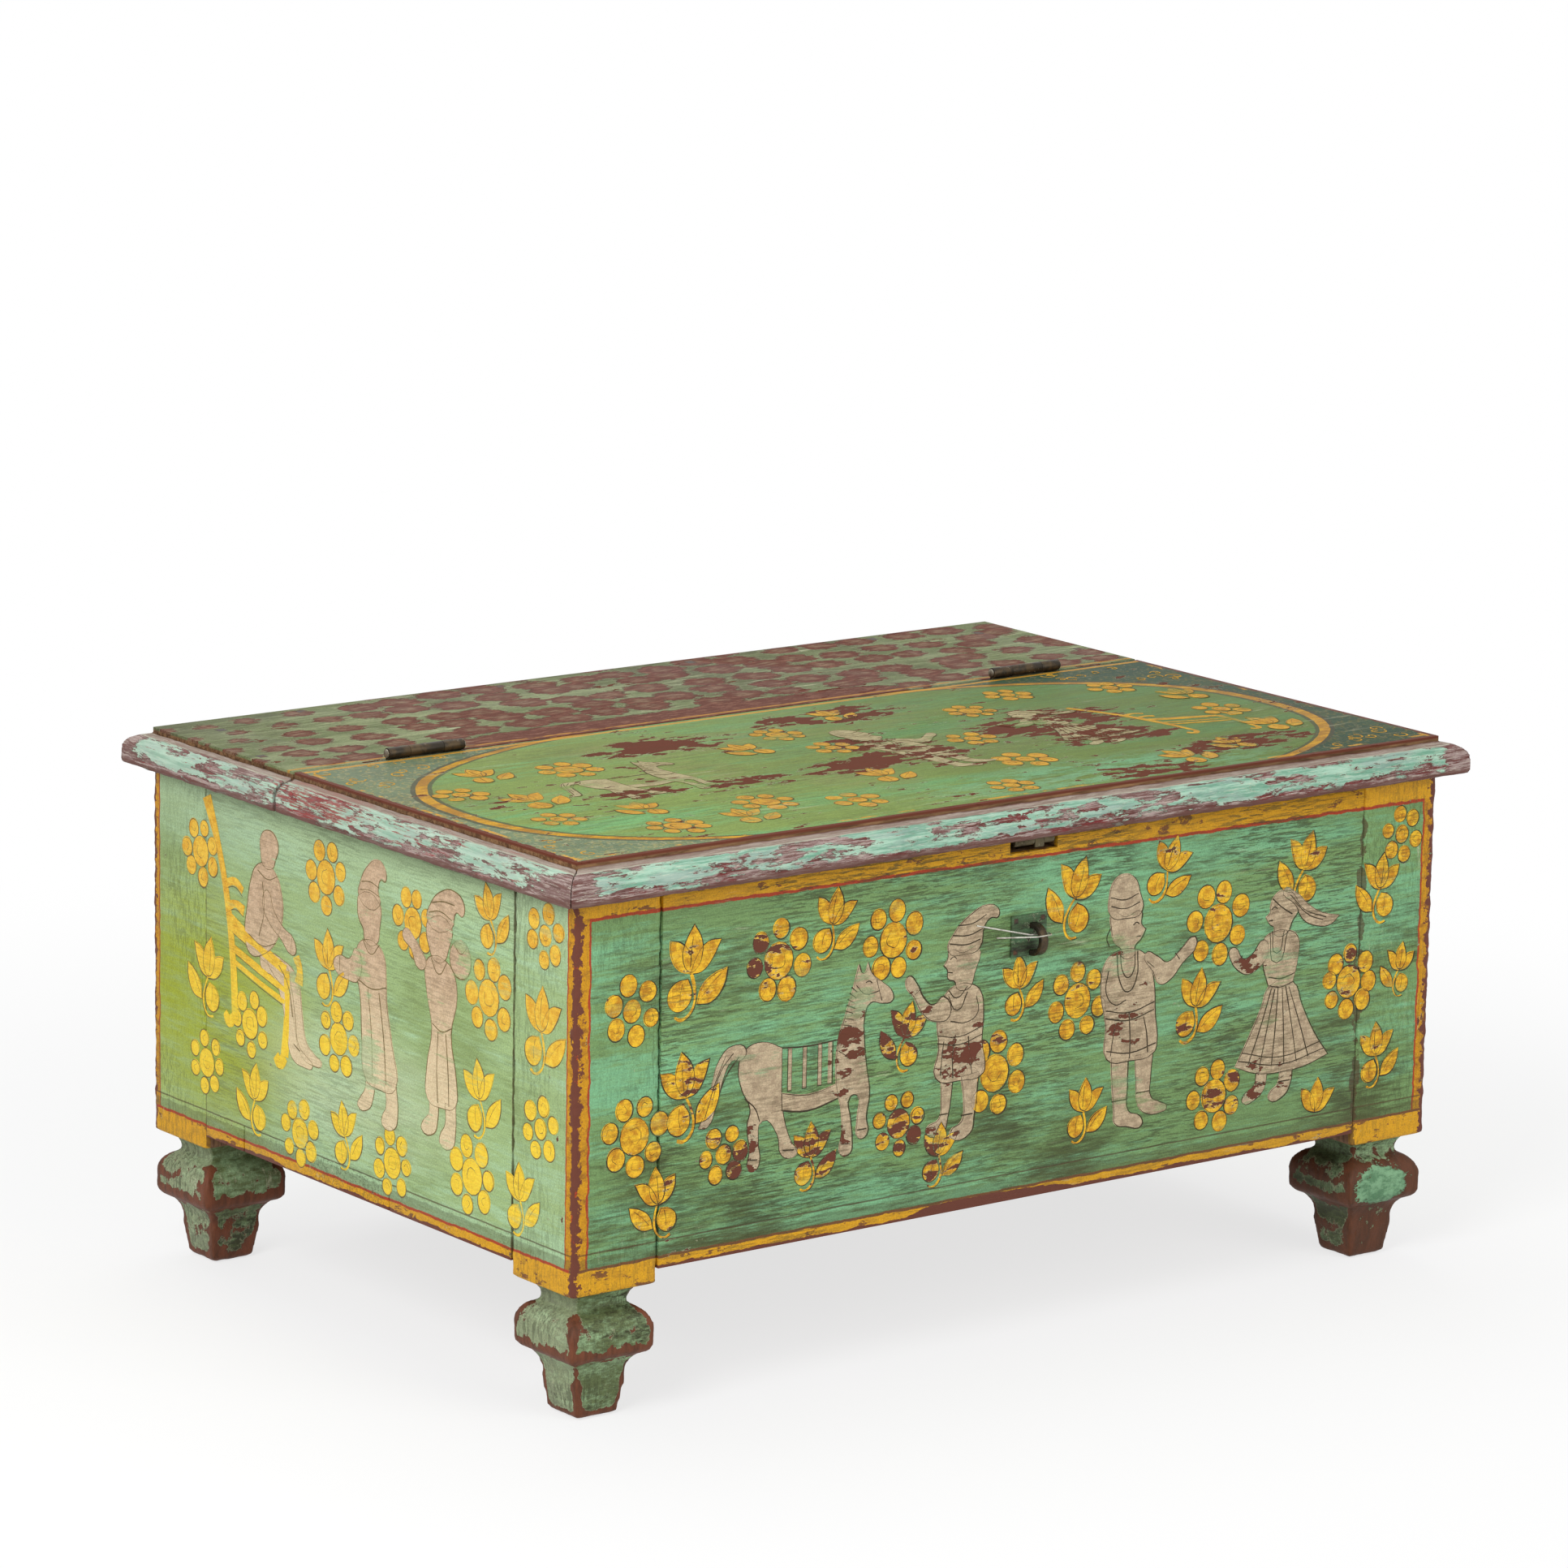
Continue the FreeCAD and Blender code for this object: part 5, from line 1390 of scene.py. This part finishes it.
lid_face = face_matrix((1, 0, 0), (0, 1, 0), (0, 0, 1), (0, 0, board_top))
gold = []
beige = []
ink = []
for at, size in (((-411, -59), 0.8), ((-273, -24), 0.95), ((-396, -183), 0.75), ((-327, -258), 0.9),
                 ((-207, -222), 0.95), ((-27, -2), 0.8), ((188, -12), 0.8), ((369, 4), 0.75),
                 ((392, -128), 0.85), ((95, -205), 0.9), ((15, -284), 0.75), ((-135, -258), 0.85),
                 ((-19, -74), 0.75), ((112, -110), 0.8), ((265, 28), 0.75)):
    rosette(at, size, hand.choice((6, 7)), gold, ink)
for at, size, flip in (((-350, 5), 0.75, 1), ((-372, -100), 0.85, 1), ((-309, -178), 0.7, -1),
                       ((-250, -248), 0.75, 1), ((-90, -30), 0.7, -1), ((69, 50), 0.65, 1),
                       ((410, -45), 0.7, -1), ((388, -190), 0.8, 1), ((226, -262), 0.75, 1),
                       ((-50, -180), 0.75, 1), ((300, -240), 0.65, -1)):
    tulip(at, size, flip, hand.uniform(-14, 14), gold, ink, stem=False)
person(HORSE, HORSE_LINES, beige, ink, (-70, -300), 0.75)
person(MAN_RIGHT, MAN_RIGHT_LINES, beige, ink, (-60, -340), 0.8)
person(WOMAN, WOMAN_LINES, beige, ink, (-20, -330), 0.8)
for points, width in CHAIR:
    gold.append(stroke(placed(points, (450, -380), 0.75, -1), width * 0.75))
scroll_tries = 600
spandrel_from = 1.12
CURL = [(-7, 0), (-4, 5), (2, 5), (5, 0), (2, -4), (-1, -1)]
for _ in range(scroll_tries):
    x = hand.uniform(lid_low.x / MM + 16, lid_high.x / MM - 16)
    y = hand.uniform(lid_low.y / MM + 16, lid_high.y / MM - 14)
    far = (abs(x * MM - oval_centre[0]) / oval_reach[0]) ** oval_roundness
    far += (abs(y * MM - oval_centre[1]) / oval_reach[1]) ** oval_roundness
    if far > spandrel_from:
        gold.append(stroke(placed(CURL, (x, y), hand.uniform(0.7, 1.3), hand.choice((-1, 1)),
                                  hand.uniform(0, 360)), 1.5))
lid_gold = motif_paint("lid_gold", lid_field, shade(206, 158, 46), shade(182, 132, 42), GRAIN_X, chips=0.22,
                       thin=0.6, streaks=0.25, places=worn_places, amount=0.5)
lid_beige = motif_paint("lid_beige", lid_field, shade(176, 164, 124), shade(152, 140, 102), GRAIN_X,
                        chips=0.3, thin=0.8, streaks=0.25, places=worn_places, amount=0.5)
lid_ink = motif_paint("lid_ink", lid_field, shade(96, 84, 48), shade(76, 66, 38), GRAIN_X, chips=0.2,
                      thin=0.7, streaks=0.2, places=worn_places, amount=0.5)
brushed_on("lid_flowers", gold, lid_face, lid_gold, "lid", "painted_top")
brushed_on("lid_figures", beige, lid_face, lid_beige, "lid", "painted_top")
brushed_on("lid_outlines", ink, lid_face, lid_ink, "lid", "painted_top")


# Studio: a white floor that keeps a soft shadow, a white surround and large soft lamps.
# The camera has the photograph's viewing angle, from the left of the chest and a little above it.

floor_size = 14.0
floor_drop = 0.5 * MM


def seen_straight(tree):
    """1 for what the camera sees, also in metal, and 0 for light that falls on the chest."""
    light_path = tree.nodes.new("ShaderNodeLightPath")
    mirrored = larger(tree, light_path.outputs["Is Glossy Ray"], light_path.outputs["Is Transmission Ray"])
    return larger(tree, light_path.outputs["Is Camera Ray"], mirrored)


bpy.ops.mesh.primitive_plane_add(size=floor_size, location=(0.0, 0.0, -floor_drop))
floor = bpy.context.object
floor.name = "studio_floor"
floor_paint, tree, shader, place = new_material("studio_floor")
feed(tree, shader.inputs["Base Color"], (0.86, 0.86, 0.86, 1.0))
shader.inputs["Roughness"].default_value = 0.9
glow = tree.nodes.new("ShaderNodeEmission")
over = tree.nodes.new("ShaderNodeMixShader")
near_x, near_y, _ = axes(tree, place)
away = figure(tree, "SQRT", plus(tree, times(tree, near_x, near_x), times(tree, near_y, near_y)))
white_nearby = 0.72
clear = raised(tree, white_nearby, ramp(tree, away, 0.7, 1.7), 1.0 - white_nearby)
feed(tree, over.inputs[0], times(tree, seen_straight(tree), clear))
tree.links.new(shader.outputs[0], over.inputs[1])
tree.links.new(glow.outputs[0], over.inputs[2])
tree.links.new(over.outputs[0], tree.nodes["Material Output"].inputs[0])
floor.data.materials.append(floor_paint)

world = bpy.data.worlds.new("studio")
bpy.context.scene.world = world
world.use_nodes = True
tree = world.node_tree
tree.nodes.clear()
sky = tree.nodes.new("ShaderNodeBackground")
feed(tree, sky.inputs["Color"], (1.0, 1.0, 1.0, 1.0))
sky_strength = 0.42
feed(tree, sky.inputs["Strength"], raised(tree, sky_strength, seen_straight(tree), 1.0 - sky_strength))
output = tree.nodes.new("ShaderNodeOutputWorld")
tree.links.new(sky.outputs[0], output.inputs[0])


def soft_lamp(name, place, target, size, power):
    """A square lamp at one place, turned to face another."""
    data = bpy.data.lights.new(name, "AREA")
    data.shape = "SQUARE"
    data.size = size
    data.energy = power
    lamp = bpy.data.objects.new(name, data)
    lamp.location = place
    lamp.rotation_euler = (Vector(target) - Vector(place)).to_track_quat("-Z", "Y").to_euler()
    bpy.context.scene.collection.objects.link(lamp)


middle = (0.0, 0.0, 0.3)
soft_lamp("key_lamp", (-3.2, -1.6, 2.6), middle, size=1.8, power=105.0)
soft_lamp("front_lamp", (1.0, -3.8, 2.0), middle, size=2.2, power=55.0)
soft_lamp("top_lamp", (0.3, 1.2, 3.6), middle, size=2.4, power=40.0)

camera_place = Vector((-3.541, -4.590, 1.684))
camera_turn, camera_rise, camera_roll = (math.radians(angle) for angle in (-37.52, 12.12, 1.05))
back = Vector((math.sin(camera_turn) * math.cos(camera_rise),
               -math.cos(camera_turn) * math.cos(camera_rise),
               math.sin(camera_rise)))
level = Vector((math.cos(camera_turn), math.sin(camera_turn), 0.0))
right = level * math.cos(camera_roll) + back.cross(level) * math.sin(camera_roll)
up = back.cross(right)
camera_data = bpy.data.cameras.new("photo_camera")
camera_data.sensor_width = 36.0
camera_data.lens = 150.67
camera = bpy.data.objects.new("photo_camera", camera_data)
camera.matrix_world = Matrix((right, up, back)).transposed().to_4x4()
camera.location = camera_place
bpy.context.scene.collection.objects.link(camera)
bpy.context.scene.camera = camera
bpy.context.scene.view_settings.view_transform = "Standard"
